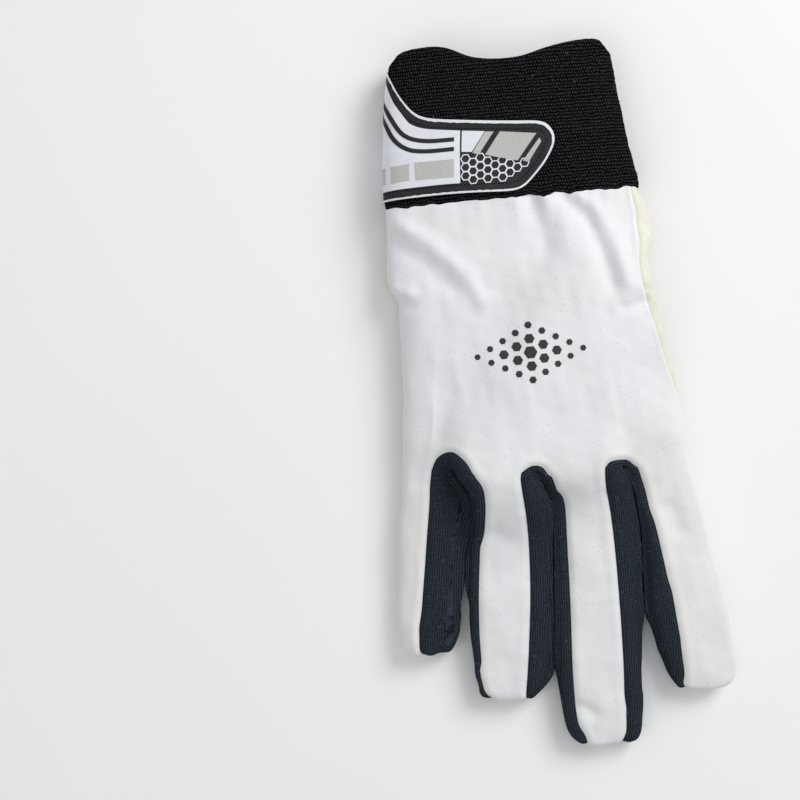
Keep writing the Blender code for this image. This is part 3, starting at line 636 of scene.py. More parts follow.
def hand_ring(cage, row, last):
    """One ring of the hand, whose columns drift from evenly spaced to the fingers' own."""
    knuckle = HAND[-1]
    middle = across((knuckle.left + knuckle.right) / 2)
    half = across((knuckle.right - knuckle.left) / 2)
    drift = smooth_step(row.along)
    count = HAND_COLUMNS
    right, left = side_angles(row)
    ring = []
    for place, corner in enumerate(last):
        target = cage.points[corner]
        y = target.y * row.along
        if count <= place < count + 3:
            share, up = rounded(right[place - count], HAND_ROUNDNESS)
        elif place >= 2 * count + 3:
            share, up = rounded(left[2 * count + 5 - place], HAND_ROUNDNESS)
        else:
            step = place if place < count else 2 * count + 2 - place
            even = OUTER_SHARE * (2 * step / (count - 1) - 1)
            own = max(-OUTER_SHARE, min(OUTER_SHARE, (target.x - middle) / half))
            share = even + (own - even) * drift
            up = (1 - abs(share) ** HAND_ROUNDNESS) ** (1 / HAND_ROUNDNESS)
            up = up if place < count else -up
        ring.append(hand_point(row, share, up, y, row.tall))
    return [cage.add(point) for point in before_smoothing(ring)]


def add_hand(cage):
    """Adds the hand between the wrist seam and the fingers."""
    last = knuckle_ring(cage)
    rings = [hand_ring(cage, row, last) for row in HAND] + [last]
    count = HAND_COLUMNS
    block = range(count + 3, count + 3 + THUMB_COLUMNS)
    first, end = THUMB_ROWS
    for number, (upper, lower) in enumerate(zip(rings, rings[1:])):
        for k in range(len(upper)):
            if k in block and first <= number < end:
                continue
            in_back = k < count + 1 or k >= 2 * count + 4
            n = (k + 1) % len(upper)
            panel = "back_panel" if in_back else "palm_panel"
            cage.face(panel, upper[k], upper[n], lower[n], lower[k])
    add_thumb(cage, [ring[block[0]:block[-1] + 2] for ring in rings[first:end + 1]])


def thumb_ring(cage, section):
    """The corners of one section of the thumb, from its upper side towards the fingers."""
    root, tip = Vector(thumb_end(THUMB_ROOT)), Vector(thumb_end(THUMB_TIP))
    way = (tip - root).normalized()
    aside = Vector((-way.y, way.x))
    centre = root + way * THUMB_LENGTH * section.along
    half = THUMB_WIDTH / 2 * section.wide
    tall = THUMB_THICKNESS * section.tall
    ring = []
    for k in range(THUMB_CORNERS):
        angle = math.pi / 2 - 2 * math.pi * k / THUMB_CORNERS
        sideways, up = rounded(angle, FINGER_ROUNDNESS)
        place = centre + aside * half * sideways
        ring.append(Vector((place.x, place.y, tall * (1 + up) / 2)))
    return [cage.add(point) for point in before_smoothing(ring)]


# Where the fold of the thumb runs, as a share of the thumb's clearance above its first section,
# and the height of its tip, as a share of its thickness.
FOLD_LIFT = 0.4
TIP_LIFT = 0.4


def add_thumb(cage, block):
    """Grows the thumb out of a block of the palm's corners, and folds it under the palm."""
    near, between, far = block
    mouth = [far[2], far[1], far[0], between[0], *near, between[-1], far[3]]
    rings = [thumb_ring(cage, section) for section in THUMB]
    elbow = []
    for k in range(THUMB_CORNERS):
        start, end = cage.points[mouth[k]], cage.points[rings[0][k]]
        point = start + (end - start) * 0.5
        if k in (0, 1, THUMB_CORNERS - 1):
            point.z = end.z + THUMB_CLEARANCE * FOLD_LIFT
        elbow.append(cage.add(point))
    rings = [mouth, elbow] + rings
    for upper, lower in zip(rings, rings[1:]):
        for k in range(THUMB_CORNERS):
            n = (k + 1) % THUMB_CORNERS
            cage.face("thumb", upper[k], upper[n], lower[n], lower[k])
    root, tip = Vector(thumb_end(THUMB_ROOT)), Vector(thumb_end(THUMB_TIP))
    end = root + (tip - root).normalized() * THUMB_LENGTH
    end = cage.add(Vector((end.x, end.y, THUMB_THICKNESS * TIP_LIFT)))
    last = rings[-1]
    for k in range(0, THUMB_CORNERS, 2):
        cage.face("thumb", end, last[k], last[k + 1], last[(k + 2) % THUMB_CORNERS])


# How many waves add up to an uneven surface, and what brings their sum to about 1.
WAVES = 14
WAVE_SUM = 4.0


def unevenness(points, length, seed):
    """A smooth random height from about -1 to 1 at each point, with bumps about this long."""
    draw = np.random.RandomState(seed)
    total = np.zeros(len(points))
    for _ in range(WAVES):
        way = draw.normal(size=3)
        way *= draw.uniform(0.6, 1.5) / (np.linalg.norm(way) * length)
        total += np.sin(points @ way * 2 * math.pi + draw.uniform(0, 2 * math.pi))
    return total / WAVE_SUM


def step_between(low, high, values):
    """A smooth step from 0 at low to 1 at high, for an array."""
    t = np.clip((values - low) / (high - low), 0.0, 1.0)
    return t * t * (3 - 2 * t)


def distances_to_path(points, path):
    """How far each point is in plan from a line of straight stretches."""
    nearest = np.full(len(points), np.inf)
    for start, end in zip(path, path[1:]):
        a, b = np.array(start), np.array(end)
        t = np.clip((points[:, :2] - a) @ (b - a) / max((b - a) @ (b - a), 1e-12), 0.0, 1.0)
        away = np.linalg.norm(points[:, :2] - a - t[:, None] * (b - a), axis=1)
        nearest = np.minimum(nearest, away)
    return nearest


def read_mesh(mesh):
    """A mesh's points, their normals, its quads and each quad's material index."""
    points = np.empty(len(mesh.vertices) * 3)
    normals = np.empty(len(mesh.vertices) * 3)
    mesh.vertices.foreach_get("co", points)
    mesh.vertex_normals.foreach_get("vector", normals)
    corners = np.empty(len(mesh.loops), dtype=np.int32)
    mesh.loops.foreach_get("vertex_index", corners)
    owner = np.empty(len(mesh.polygons), dtype=np.int32)
    mesh.polygons.foreach_get("material_index", owner)
    return points.reshape(-1, 3), normals.reshape(-1, 3), corners.reshape(-1, 4), owner


def seam_points(mesh, owner):
    """The numbers of the points that lie on a seam between two panels."""
    edges = np.empty(len(mesh.loops), dtype=np.int32)
    mesh.loops.foreach_get("edge_index", edges)
    ends = np.empty(len(mesh.edges) * 2, dtype=np.int32)
    mesh.edges.foreach_get("vertices", ends)
    both = np.repeat(owner, 4)
    low = np.full(len(mesh.edges), 99)
    high = np.full(len(mesh.edges), -1)
    np.minimum.at(low, edges, both)
    np.maximum.at(high, edges, both)
    return np.unique(ends.reshape(-1, 2)[low != high])


def nearest_seam(points, seam):
    """Each point's distance from the nearest seam, and that seam's own nearest point."""
    tree = KDTree(len(seam))
    for number in seam:
        tree.insert(points[number], int(number))
    tree.balance()
    found = [tree.find(point) for point in points]
    return np.array([f[2] for f in found]), points[[f[1] for f in found]]


# How long the puckers along a seam and the soft dents are, and how far a pucker reaches.
PUCKER_LENGTH = 0.0048
PUCKER_REACH = 0.0032
DENT_LENGTHS = (0.019, 0.0075)
# A seam's valley has a low ridge beside it: its height, place and width as shares of the
# valley's.
RIDGE_HEIGHT = 0.35
RIDGE_PLACE = 2.4
RIDGE_WIDTH = 1.3


def pressed_skin(points, normals, away, seam):
    """The smooth skin with its seams drawn in, its puckers, folds, gathers and soft dents."""
    sizes = bpy.context.scene.inner_glove_sizes
    facing = step_between(0.0, 0.7, normals[:, 2])
    out = -sizes.seam_depth * np.exp(-(away / sizes.seam_width) ** 2)
    ridge = (away - RIDGE_PLACE * sizes.seam_width) / (RIDGE_WIDTH * sizes.seam_width)
    out += RIDGE_HEIGHT * sizes.seam_depth * np.exp(-ridge ** 2)
    puckers = unevenness(seam, PUCKER_LENGTH, 3)
    out += sizes.pucker_height * puckers * np.exp(-away / PUCKER_REACH)
    out += sizes.softness * unevenness(points, DENT_LENGTHS[0], 5)
    out += 0.35 * sizes.softness * unevenness(points, DENT_LENGTHS[1], 6)
    pressed = points + normals * out[:, None]
    for fold in FOLDS:
        lift = np.exp(-(distances_to_path(points, fold.points) / fold.width) ** 2)
        pressed[:, 2] += sizes.fold_scale * fold.height * facing * lift
    for gather in GATHERS:
        across_it = np.exp(-((points[:, 0] - gather.across) / GATHER_WIDTH) ** 2)
        length = np.exp(-(points[:, 1] / gather.length) ** 2)
        pressed[:, 2] += gather.height * facing * across_it * length
    return pressed


def spread_moves(moves, quads, times):
    """Evens out the moves of neighbouring points."""
    count = np.bincount(quads.ravel(), minlength=len(moves))[:, None] * 4.0
    for _ in range(times):
        face = moves[quads].sum(axis=1)
        total = np.zeros_like(moves)
        for corner in range(4):
            np.add.at(total, quads[:, corner], face)
        moves = total / np.maximum(count, 1.0)
    return moves


# A valley opens again over this length. Only points that face sideways at least this much are
# moved, and the rays that find the other side start this far off the skin.
VALLEY_FADE = 0.007
VALLEY_FACING = 0.3
RAY_START = 0.00005


def closed_valleys(points, normals, quads, owner, names):
    """Brings the two knit sides of each valley together as far as they lie on each other."""
    tree = BVHTree.FromPolygons(points.tolist(), quads.tolist())
    moves = np.zeros_like(points)
    for valley in VALLEYS:
        used = np.unique(quads[owner == names.index(valley.name)])
        weights = step_between(valley.end - VALLEY_FADE, valley.end, points[used, 1])
        for number, weight in zip(used, weights):
            normal = Vector(normals[number])
            if weight == 0.0 or abs(normal.x) < VALLEY_FACING:
                continue
            start = Vector(points[number]) + normal * RAY_START
            reach = tree.ray_cast(start, normal, VALLEY_REACH)[3]
            if reach is not None:
                moves[number] = normal * max(reach / 2 - VALLEY_GAP, 0.0) * weight
    return points + spread_moves(moves, quads, 5)


def nudged(points):
    """Moves the outlines in plan a little, where the real seams run rounder than the cage's."""
    moved = points.copy()
    for nudge in NUDGES:
        line = nudge.points if len(nudge.points) > 1 else nudge.points * 2
        share = np.exp(-(distances_to_path(points, line) / nudge.radius) ** 2)
        moved[:, 0] += nudge.sideways * share
        moved[:, 1] += nudge.lengthways * share
    return moved


# The edge at the wrist wanders this much, in waves about this long, and the wave dies out over
# this distance on either side of the seam.
WRIST_WANDER = 0.00035
WRIST_WAVE_LENGTH = 0.0080
WRIST_WAVE_REACH = 0.004
# The lowest cloth stays this far above the ground.
GROUND_GAP = 0.0001


def wrist_wave(points):
    """How far the edge of the cloth wanders along the hand at the wrist seam."""
    wave = WRIST_WANDER * unevenness(points * (1.0, 0.0, 1.0), WRIST_WAVE_LENGTH, 11)
    for gather in GATHERS:
        scallop = np.exp(-((points[:, 0] - gather.across) / SCALLOP_WIDTH) ** 2)
        wave -= gather.height * scallop
    return wave


def make_hand_skin():
    """The whole hand as one fine surface in the frame, with the panel of each of its quads."""
    cage = Cage()
    add_hand(cage)
    names = sorted(set(cage.panels))
    mesh = bpy.data.meshes.new("hand_cage")
    mesh.from_pydata(cage.points, [], cage.faces)
    for polygon, panel in zip(mesh.polygons, cage.panels):
        polygon.material_index = names.index(panel)
    for _ in names:
        mesh.materials.append(None)
    turn_faces_out(mesh)
    guide = bpy.data.objects.new("hand_cage", mesh)
    bpy.context.scene.collection.objects.link(guide)
    smoothing = guide.modifiers.new("smooth", "SUBSURF")
    smoothing.levels = smoothing.render_levels = FINE_LEVELS
    graph = bpy.context.evaluated_depsgraph_get()
    fine = bpy.data.meshes.new_from_object(guide.evaluated_get(graph))
    points, normals, quads, owner = read_mesh(fine)
    points = closed_valleys(nudged(points), normals, quads, owner, names)
    away, seam = nearest_seam(points, seam_points(fine, owner))
    pressed = pressed_skin(points, normals, away, seam)
    pressed[:, 1] += wrist_wave(points) * np.exp(points[:, 1] / WRIST_WAVE_REACH)
    pressed += np.array(WRIST_PLACE)
    pressed[:, 2] = np.maximum(pressed[:, 2], GROUND_GAP)
    bpy.data.objects.remove(guide)
    bpy.data.meshes.remove(mesh)
    bpy.data.meshes.remove(fine)
    return {"points": pressed, "away": away, "quads": quads, "owner": owner, "names": names}


HAND_SKIN = {}


def hand_skin():
    """The hand's skin, which is made once for all its panels."""
    if not HAND_SKIN:
        HAND_SKIN.update(make_hand_skin())
    return HAND_SKIN


def turn_faces_out(mesh):
    shape = bmesh.new()
    shape.from_mesh(mesh)
    bmesh.ops.recalc_face_normals(shape, faces=shape.faces[:])
    shape.to_mesh(mesh)
    shape.free()


def new_piece(name, points, faces):
    """A piece with its place in its mesh, alone selected."""
    mesh = bpy.data.meshes.new(name)
    mesh.from_pydata([tuple(p) for p in points], [], [tuple(f) for f in faces])
    piece = bpy.data.objects.new(name, mesh)
    bpy.context.scene.collection.objects.link(piece)
    select_alone(piece)
    return piece


def select_alone(piece):
    bpy.ops.object.select_all(action="DESELECT")
    piece.select_set(True)
    bpy.context.view_layer.objects.active = piece


def write_attribute(piece, name, values):
    """Keeps a number for each point of a piece, for its material to read."""
    made = piece.data.attributes.new(name, "FLOAT", "POINT")
    made.data.foreach_set("value", np.asarray(values, dtype=np.float32))


def give_wall(piece, thickness, offset=-1.0):
    """Gives a surface its cloth's thickness, inwards for an offset of -1."""
    select_alone(piece)
    wall = piece.modifiers.new("wall", "SOLIDIFY")
    wall.thickness = thickness
    wall.offset = offset
    bpy.ops.object.modifier_apply(modifier=wall.name)
    bpy.ops.object.shade_smooth_by_angle(angle=math.radians(60))


def round_edges(piece, width, segments=2):
    select_alone(piece)
    bevel = piece.modifiers.new("edge", "BEVEL")
    bevel.width = width
    bevel.segments = segments
    bevel.limit_method = "ANGLE"
    bevel.angle_limit = math.radians(50)
    bpy.ops.object.modifier_apply(modifier=bevel.name)
    bpy.ops.object.shade_smooth_by_angle(angle=math.radians(40))


def panel_piece(name, wall):
    """One panel of the hand, cut out of the skin along its seams."""
    skin = hand_skin()
    quads = skin["quads"][skin["owner"] == skin["names"].index(name)]
    used, numbers = np.unique(quads, return_inverse=True)
    piece = new_piece(name + "_cloth", skin["points"][used], numbers.reshape(-1, 4))
    write_attribute(piece, "seam", skin["away"][used])
    give_wall(piece, wall)
    return piece


def finished(piece, slot, material, *nodes):
    """Gives a piece its material and its body, and hides the solids that it stands for."""
    piece.data.materials.clear()
    piece.data.materials.append(material)
    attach(piece, "root")
    if nodes:
        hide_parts(*nodes)
    return piece


def cuff_sections(heights):
    """The cuff's middle, half its width and half its thickness at these heights."""
    places = column(CUFF, "along")
    rows = [
        [read_curve(places, column(CUFF, field), height / CUFF_HEIGHT) for height in heights]
        for field in ("middle", "wide", "tall")
    ]
    middle, wide, tall = (np.array(row) for row in rows)
    return CUFF_WIDTH * middle, CUFF_WIDTH * wide / 2, CUFF_THICKNESS * tall / 2


# The cuff's section is measured in this many steps round its back.
SECTION_STEPS = 260
SECTION_ANGLES = np.linspace(0.0, math.pi, SECTION_STEPS + 1)
SECTION_SIDEWAYS = -np.cos(SECTION_ANGLES)
SECTION_UP = (1 - np.abs(SECTION_SIDEWAYS) ** HAND_ROUNDNESS) ** (1 / HAND_ROUNDNESS)


def section_lengths(half, tall):
    """The distance round the back of each section, from its little finger side."""
    steps = np.hypot(half[:, None] * np.diff(SECTION_SIDEWAYS)[None, :],
                     tall[:, None] * np.diff(SECTION_UP)[None, :])
    return np.concatenate([np.zeros((len(half), 1)), np.cumsum(steps, axis=1)], axis=1)


# The back of the cuff is uneven by this much, in waves about this long.
CUFF_WANDER = 0.0005
CUFF_WAVE_LENGTH = 0.034


def on_cuff(reach, heights, out):
    """Points over the cuff at distances round it from its little finger side. A negative
    distance goes round the palm, and out is the height above the cuff's cloth."""
    reach, heights, out = (np.asarray(v, dtype=float) for v in (reach, heights, out))
    middle, half, tall = cuff_sections(heights)
    lengths = section_lengths(half, tall)
    rows = np.arange(len(reach))
    step = np.clip((lengths < np.abs(reach)[:, None]).sum(axis=1) - 1, 0, SECTION_STEPS - 1)
    start = lengths[rows, step]
    share = np.clip((np.abs(reach) - start) / (lengths[rows, step + 1] - start), 0.0, 1.0)
    angle = SECTION_ANGLES[step] + share * (SECTION_ANGLES[1] - SECTION_ANGLES[0])
    sideways = -np.cos(angle)
    up = (1 - np.abs(sideways) ** HAND_ROUNDNESS) ** (1 / HAND_ROUNDNESS)
    up *= np.where(reach < 0, -1.0, 1.0)
    slope = HAND_ROUNDNESS - 1
    normal = np.stack([
        np.sign(sideways) * np.abs(sideways) ** slope / half,
        np.zeros(len(reach)),
        np.sign(up) * np.abs(up) ** slope / tall,
    ], axis=1)
    normal /= np.linalg.norm(normal, axis=1)[:, None]
    centre = np.stack([middle, heights, np.full(len(reach), CUFF_LIFT + CUFF_THICKNESS / 2)],
                      axis=1)
    points = centre + np.stack([half * sideways, np.zeros(len(reach)), tall * up], axis=1)
    points += normal * out[:, None]
    wander = CUFF_WANDER * unevenness(points * (1.0, 1.0, 0.0), CUFF_WAVE_LENGTH, 21)
    points[:, 2] += wander * np.clip(up, 0.0, 1.0)
    return points, sideways, up


# At the little finger side the badge is pressed flat by this share, over this reach.
SIDE_PRESS = 0.72
SIDE_REACH = 0.0050


def wrapped(piece):
    """Moves a piece's points from its flat drawing onto the cuff: x is the distance round the
    cuff, y the height above the wrist seam and z the height above the cuff's cloth."""
    flat = np.empty(len(piece.data.vertices) * 3)
    piece.data.vertices.foreach_get("co", flat)
    flat = flat.reshape(-1, 3)
    pressed = 1 - SIDE_PRESS * np.exp(-(flat[:, 0] / SIDE_REACH) ** 2)
    points, _, _ = on_cuff(flat[:, 0], flat[:, 1], flat[:, 2] * pressed)
    points += np.array(WRIST_PLACE)
    piece.data.vertices.foreach_set("co", points.ravel())
    piece.data.update()
    return piece


def cuff_top(sideways, up):
    field = "back" if up >= 0 else "palm"
    share = read_curve(column(CUFF_EDGE, "across"), column(CUFF_EDGE, field), sideways)
    return CUFF_HEIGHT * share


# Points round the cuff and rows up it.
CUFF_ROUND = 400
CUFF_UP = 96
# The open edge is rolled in this deep over this length, and the cloth is tucked in this deep
# over this length at the wrist seam.
LIP_DEPTH = 0.0009
LIP_LENGTH = 0.0016
TUCK_DEPTH = 0.0006
TUCK_LENGTH = 0.0012


def cuff_cloth(wall):
    """The knitted cuff as one tube with a soft rolled edge and a fine uneven face."""
    places = (np.arange(CUFF_ROUND) + 0.5) / CUFF_ROUND * 2 - 1
    _, half, tall = cuff_sections([0.0])
    whole = section_lengths(half, tall)[0, -1]
    _, sideways, up = on_cuff(places * whole, np.zeros(CUFF_ROUND), np.zeros(CUFF_ROUND))
    tops = np.array([cuff_top(s, u) for s, u in zip(sideways, up)])
    points, around, rise = [], [], []
    for row in range(CUFF_UP + 1):
        share = row / CUFF_UP
        heights = tops * share + SEAM_GAP * 0.25 * (1 - share)
        _, half, tall = cuff_sections([float(heights.mean())])
        length = section_lengths(half, tall)[0, -1]
        left = tops * (1 - share)
        lip = np.clip(1 - left / LIP_LENGTH, 0.0, 1.0)
        tuck = np.exp(-heights / TUCK_LENGTH)
        out = -LIP_DEPTH * (1 - np.sqrt(1 - lip ** 2)) - TUCK_DEPTH * tuck
        ring, _, _ = on_cuff(places * length, heights, out)
        points.append(ring)
        around.append(places * whole)
        rise.append(heights)
    points = np.concatenate(points)
    fine = 0.00012 * unevenness(points, 0.0022, 31) + 0.00016 * unevenness(points, 0.009, 32)
    centre = np.array((0.0, 0.0, CUFF_LIFT + CUFF_THICKNESS / 2))
    away = (points - centre) * (0.15, 0.0, 1.0)
    points += away / np.linalg.norm(away, axis=1)[:, None] * fine[:, None]
    points[:, 1] += wrist_wave(points) * np.exp(-points[:, 1] / WRIST_WAVE_REACH)
    points += np.array(WRIST_PLACE)
    faces = [
        (r * CUFF_ROUND + c, r * CUFF_ROUND + (c + 1) % CUFF_ROUND,
         (r + 1) * CUFF_ROUND + (c + 1) % CUFF_ROUND, (r + 1) * CUFF_ROUND + c)
        for r in range(CUFF_UP) for c in range(CUFF_ROUND)
    ]
    piece = new_piece("cuff_knit", points, faces)
    turn_faces_out(piece.data)
    write_attribute(piece, "around", np.concatenate(around))
    write_attribute(piece, "rise", np.concatenate(rise))
    give_wall(piece, wall)
    return piece


def badge_edge(field, reach, inset):
    """The height of one edge of the badge, drawn in at right angles by an inset."""
    places = column(BADGE, "reach")
    values = column(BADGE, field)
    share = abs(reach) / BADGE_REACH
    step = 0.01
    rise = read_curve(places, values, share + step) - read_curve(places, values, share)
    slope = rise * CUFF_HEIGHT / (step * BADGE_REACH)
    towards = 1 if field == "low" else -1
    height = read_curve(places, values, share) * CUFF_HEIGHT
    return height + towards * inset * math.hypot(1, slope)


# The badge's outline has this many points, smoothed this many times. Its rim is thinner on the
# upper edge over this distance from the little finger side.
RING_POINTS = 540
RING_SMOOTHINGS = 26
THIN_REACH = 0.013


def badge_ring(inset, lean=0.0, thin=0.0):
    """The badge's outline as a closed line of evenly spaced flat points with soft corners,
    drawn in by an inset. Its upper edge is drawn in further by a share, and its lower less.
    Near the little finger side the upper edge is drawn in less, by the share thin."""
    reaches = [BADGE_REACH * math.sin(math.pi * (k / 200 - 0.5)) for k in range(201)]
    ring = [(r, badge_edge("low", r, 0.0)) for r in reaches]
    ring += [(r, badge_edge("high", r, 0.0)) for r in reversed(reaches)]
    ring = np.array(ring + ring[:1])
    far = np.concatenate([[0.0], np.cumsum(np.linalg.norm(np.diff(ring, axis=0), axis=1))])
    at = np.arange(RING_POINTS) / RING_POINTS * far[-1]
    ring = np.stack([np.interp(at, far, ring[:, 0]), np.interp(at, far, ring[:, 1])], axis=1)
    for _ in range(RING_SMOOTHINGS):
        ring = 0.5 * ring + 0.25 * (np.roll(ring, 1, axis=0) + np.roll(ring, -1, axis=0))
    way = np.roll(ring, -1, axis=0) - np.roll(ring, 1, axis=0)
    way /= np.linalg.norm(way, axis=1)[:, None]
    inwards = np.stack([-way[:, 1], way[:, 0]], axis=1)
    less = thin * np.exp(-(ring[:, :1] / THIN_REACH) ** 2) * (inwards[:, 1:] < 0)
    return ring + inwards * inset * (1 - lean * inwards[:, 1:]) * (1 - less)


# Flat plates are cut into squares of this size, so that they can bend.
SLAB_CUT = 0.0013


def slab(name, corners, base, thickness, edge=0.00012):
    """A thin plate from its flat outline, cut into squares and bent round the cuff."""
    piece = new_piece(name, [(x, y, base) for x, y in corners], [range(len(corners))])
    bpy.ops.object.mode_set(mode="EDIT")
    for axis, way in enumerate(((1, 0, 0), (0, 1, 0))):
        lowest = min(corner[axis] for corner in corners)
        highest = max(corner[axis] for corner in corners)
        cut = math.ceil(lowest / SLAB_CUT) * SLAB_CUT
        while cut < highest:
            bpy.ops.mesh.select_all(action="SELECT")
            bpy.ops.mesh.bisect(plane_co=[cut * w for w in way], plane_no=way)
            cut += SLAB_CUT
    bpy.ops.object.mode_set(mode="OBJECT")
    shape = bmesh.new()
    shape.from_mesh(piece.data)
    shape.normal_update()
    if sum(face.normal.z * face.calc_area() for face in shape.faces) < 0:
        bmesh.ops.reverse_faces(shape, faces=shape.faces[:])
    shape.to_mesh(piece.data)
    shape.free()
    give_wall(piece, thickness, 1.0)
    if edge:
        round_edges(piece, edge)
    return wrapped(piece)


def band(name, outer, inner, base, thickness, edge=0.00015):
    """A closed band between two outlines of the same number of points, bent round the cuff."""
    count = len(outer)
    points = [(x, y, base) for x, y in outer] + [(x, y, base) for x, y in inner]
    faces = [(k, (k + 1) % count, count + (k + 1) % count, count + k) for k in range(count)]
    piece = new_piece(name, points, faces)
    give_wall(piece, thickness, 1.0)
    round_edges(piece, edge)
    return wrapped(piece)


def ribbon_outline(path, width):
    """The outline of a strip of one width along a line of flat points."""
    line = np.array(path)
    ways = np.gradient(line, axis=0)
    ways /= np.linalg.norm(ways, axis=1)[:, None]
    aside = np.stack([-ways[:, 1], ways[:, 0]], axis=1) * width / 2
    return [tuple(p) for p in line + aside] + [tuple(p) for p in (line - aside)[::-1]]


def smooth_line(corners, count):
    """A smooth line of many points through a few."""
    places = list(range(len(corners)))
    at = [k * (len(corners) - 1) / count for k in range(count + 1)]
    return [tuple(read_curve(places, [c[i] for c in corners], t) for i in (0, 1)) for t in at]


def joined(name, parts):
    """One piece made of several."""
    bpy.ops.object.select_all(action="DESELECT")
    for part in parts:
        part.select_set(True)
    bpy.context.view_layer.objects.active = parts[0]
    if len(parts) > 1:
        bpy.ops.object.join()
    piece = bpy.context.view_layer.objects.active
    piece.name = piece.data.name = name
    return piece


class Value:
    """A number that varies over a surface. Sums on it add Math nodes."""

    def __init__(self, shade, socket):
        self.shade = shade
        self.socket = socket

    def sum(self, operation, *values):
        return self.shade.node("ShaderNodeMath", {"operation": operation}, *values)

    def __add__(self, other):
        return self.sum("ADD", self, other)

    __radd__ = __add__

    def __sub__(self, other):
        return self.sum("SUBTRACT", self, other)

    def __rsub__(self, other):
        return self.sum("SUBTRACT", other, self)

    def __mul__(self, other):
        return self.sum("MULTIPLY", self, other)

    __rmul__ = __mul__

    def __truediv__(self, other):
        return self.sum("DIVIDE", self, other)

    def __rtruediv__(self, other):
        return self.sum("DIVIDE", other, self)

    def __pow__(self, other):
        return self.sum("POWER", self, other)

    def sine(self):
        return self.sum("SINE", self)

    def size(self):
        return self.sum("ABSOLUTE", self)


FINISH = "_finish"


class Shade:
    """A material that is being made, on one Principled shader."""

    def __init__(self, name, **numbers):
        self.material = bpy.data.materials.new(name + FINISH)
        self.material.use_nodes = True
        self.tree = self.material.node_tree
        self.shader = self.tree.nodes["Principled BSDF"]
        for socket, value in numbers.items():
            self.shader.inputs[socket.replace("_", " ")].default_value = value

    def node(self, kind, settings, *values, output=0, **named):
        """Adds a node: its settings come first, and then the values or links of its sockets."""
        made = self.tree.nodes.new(kind)
        for name, value in settings.items():
            if name == "stops":
                ramp = made.color_ramp.elements
                while len(ramp) < len(value):
                    ramp.new(0.5)
                for stop, (place, colour) in zip(ramp, value):
                    stop.position = place
                    stop.color = colour
            else:
                setattr(made, name, value)
        for key, value in list(enumerate(values)) + list(named.items()):
            socket = made.inputs[key]
            if isinstance(value, Value):
                self.tree.links.new(value.socket, socket)
            elif value is not None:
                socket.default_value = value
        return Value(self, made.outputs[output])

    def place(self):
        return self.node("ShaderNodeTexCoord", {}, output="Object")

    def part(self, vector, axis):
        return self.node("ShaderNodeSeparateXYZ", {}, vector, output="XYZ".index(axis))

    def attribute(self, name):
        return self.node("ShaderNodeAttribute", {"attribute_name": name}, output="Fac")

    def vector(self, x, y, z=0.0):
        return self.node("ShaderNodeCombineXYZ", {}, x, y, z)

    def noise(self, place, scale, detail=2.0, roughness=0.5):
        return self.node("ShaderNodeTexNoise", {}, Vector=place, Scale=scale, Detail=detail,
                         Roughness=roughness)

    def between(self, value, low, high, start=0.0, end=1.0):
        """A smooth step between two values of something."""
        return self.node("ShaderNodeMapRange", {"interpolation_type": "SMOOTHSTEP"},
                         value, low, high, start, end)

    def mix(self, share, first, second):
        """A colour between two colours."""
        return self.node("ShaderNodeMix", {"data_type": "RGBA"}, share, None, None, None, None,
                         None, first, second, output=2)

    def bump(self, height, distance, strength=1.0):
        return self.node("ShaderNodeBump", {}, Strength=strength, Distance=distance,
                         Height=height)

    def made(self, **inputs):
        """Links what varies to the shader and returns the material."""
        for name, value in inputs.items():
            self.tree.links.new(value.socket, self.shader.inputs[name.replace("_", " ")])
        return self.material


def colour(name):
    return (*getattr(bpy.context.scene.inner_glove_colours, name), 1.0)


def shaded(tint, share):
    """A colour made darker or lighter."""
    return (*(min(1.0, c * share) for c in tint[:3]), 1.0)


# The distances from one thread of the back cloth to the next, across and down.
WEAVE_ACROSS = 0.00062
WEAVE_DOWN = 0.00055


def back_cloth_material():
    shade = Shade("back_cloth", Roughness=0.7, Sheen_Weight=0.15)
    place = shade.place()
    seam = shade.attribute("seam")
    tint = colour("back_cloth")
    warm = (tint[0] * 0.97, tint[1] * 0.955, tint[2] * 0.90, 1.0)
    broad = shade.between(shade.noise(place, 38.0, 2.0), 0.35, 0.70)
    # Painted shade: towards a seam the cloth is mixed towards the warmer, darker tint.
    near = shade.between(seam, 0.0, 0.0085, 1.0, 0.0)
    outer = shade.between(shade.part(place, "X").size(), 0.018, 0.042, 0.1, 0.8)
    fingers = shade.between(shade.part(place, "Y"), -0.07, 0.01, 1.0, 0.0) * outer
    base = shade.mix(broad * 0.3 + near * 0.4 + fingers, tint, warm)
    grain = shade.noise(place, 1300.0, 2.0, 0.6)
    base = shade.mix(shade.between(grain, 0.32, 0.70, 0.20, 0.0), base, shaded(tint, 0.84))
    speck = shade.between(shade.noise(place, 900.0, 1.0), 0.665, 0.73)
    base = shade.mix(speck * 0.20, base, shaded(tint, 0.45))
    # Painted shade: a thin darker line right along each seam.
    base = shade.mix(shade.between(seam, 0.0, 0.0006, 0.35, 0.0), base, shaded(tint, 0.6))
    across_it = (shade.part(place, "X") * (2 * math.pi / WEAVE_ACROSS)).sine()
    down_it = (shade.part(place, "Y") * (2 * math.pi / WEAVE_DOWN)).sine()
    weave = across_it * down_it * 0.35 + grain
    return shade.made(Base_Color=base, Normal=shade.bump(weave, 0.00006, 0.5))


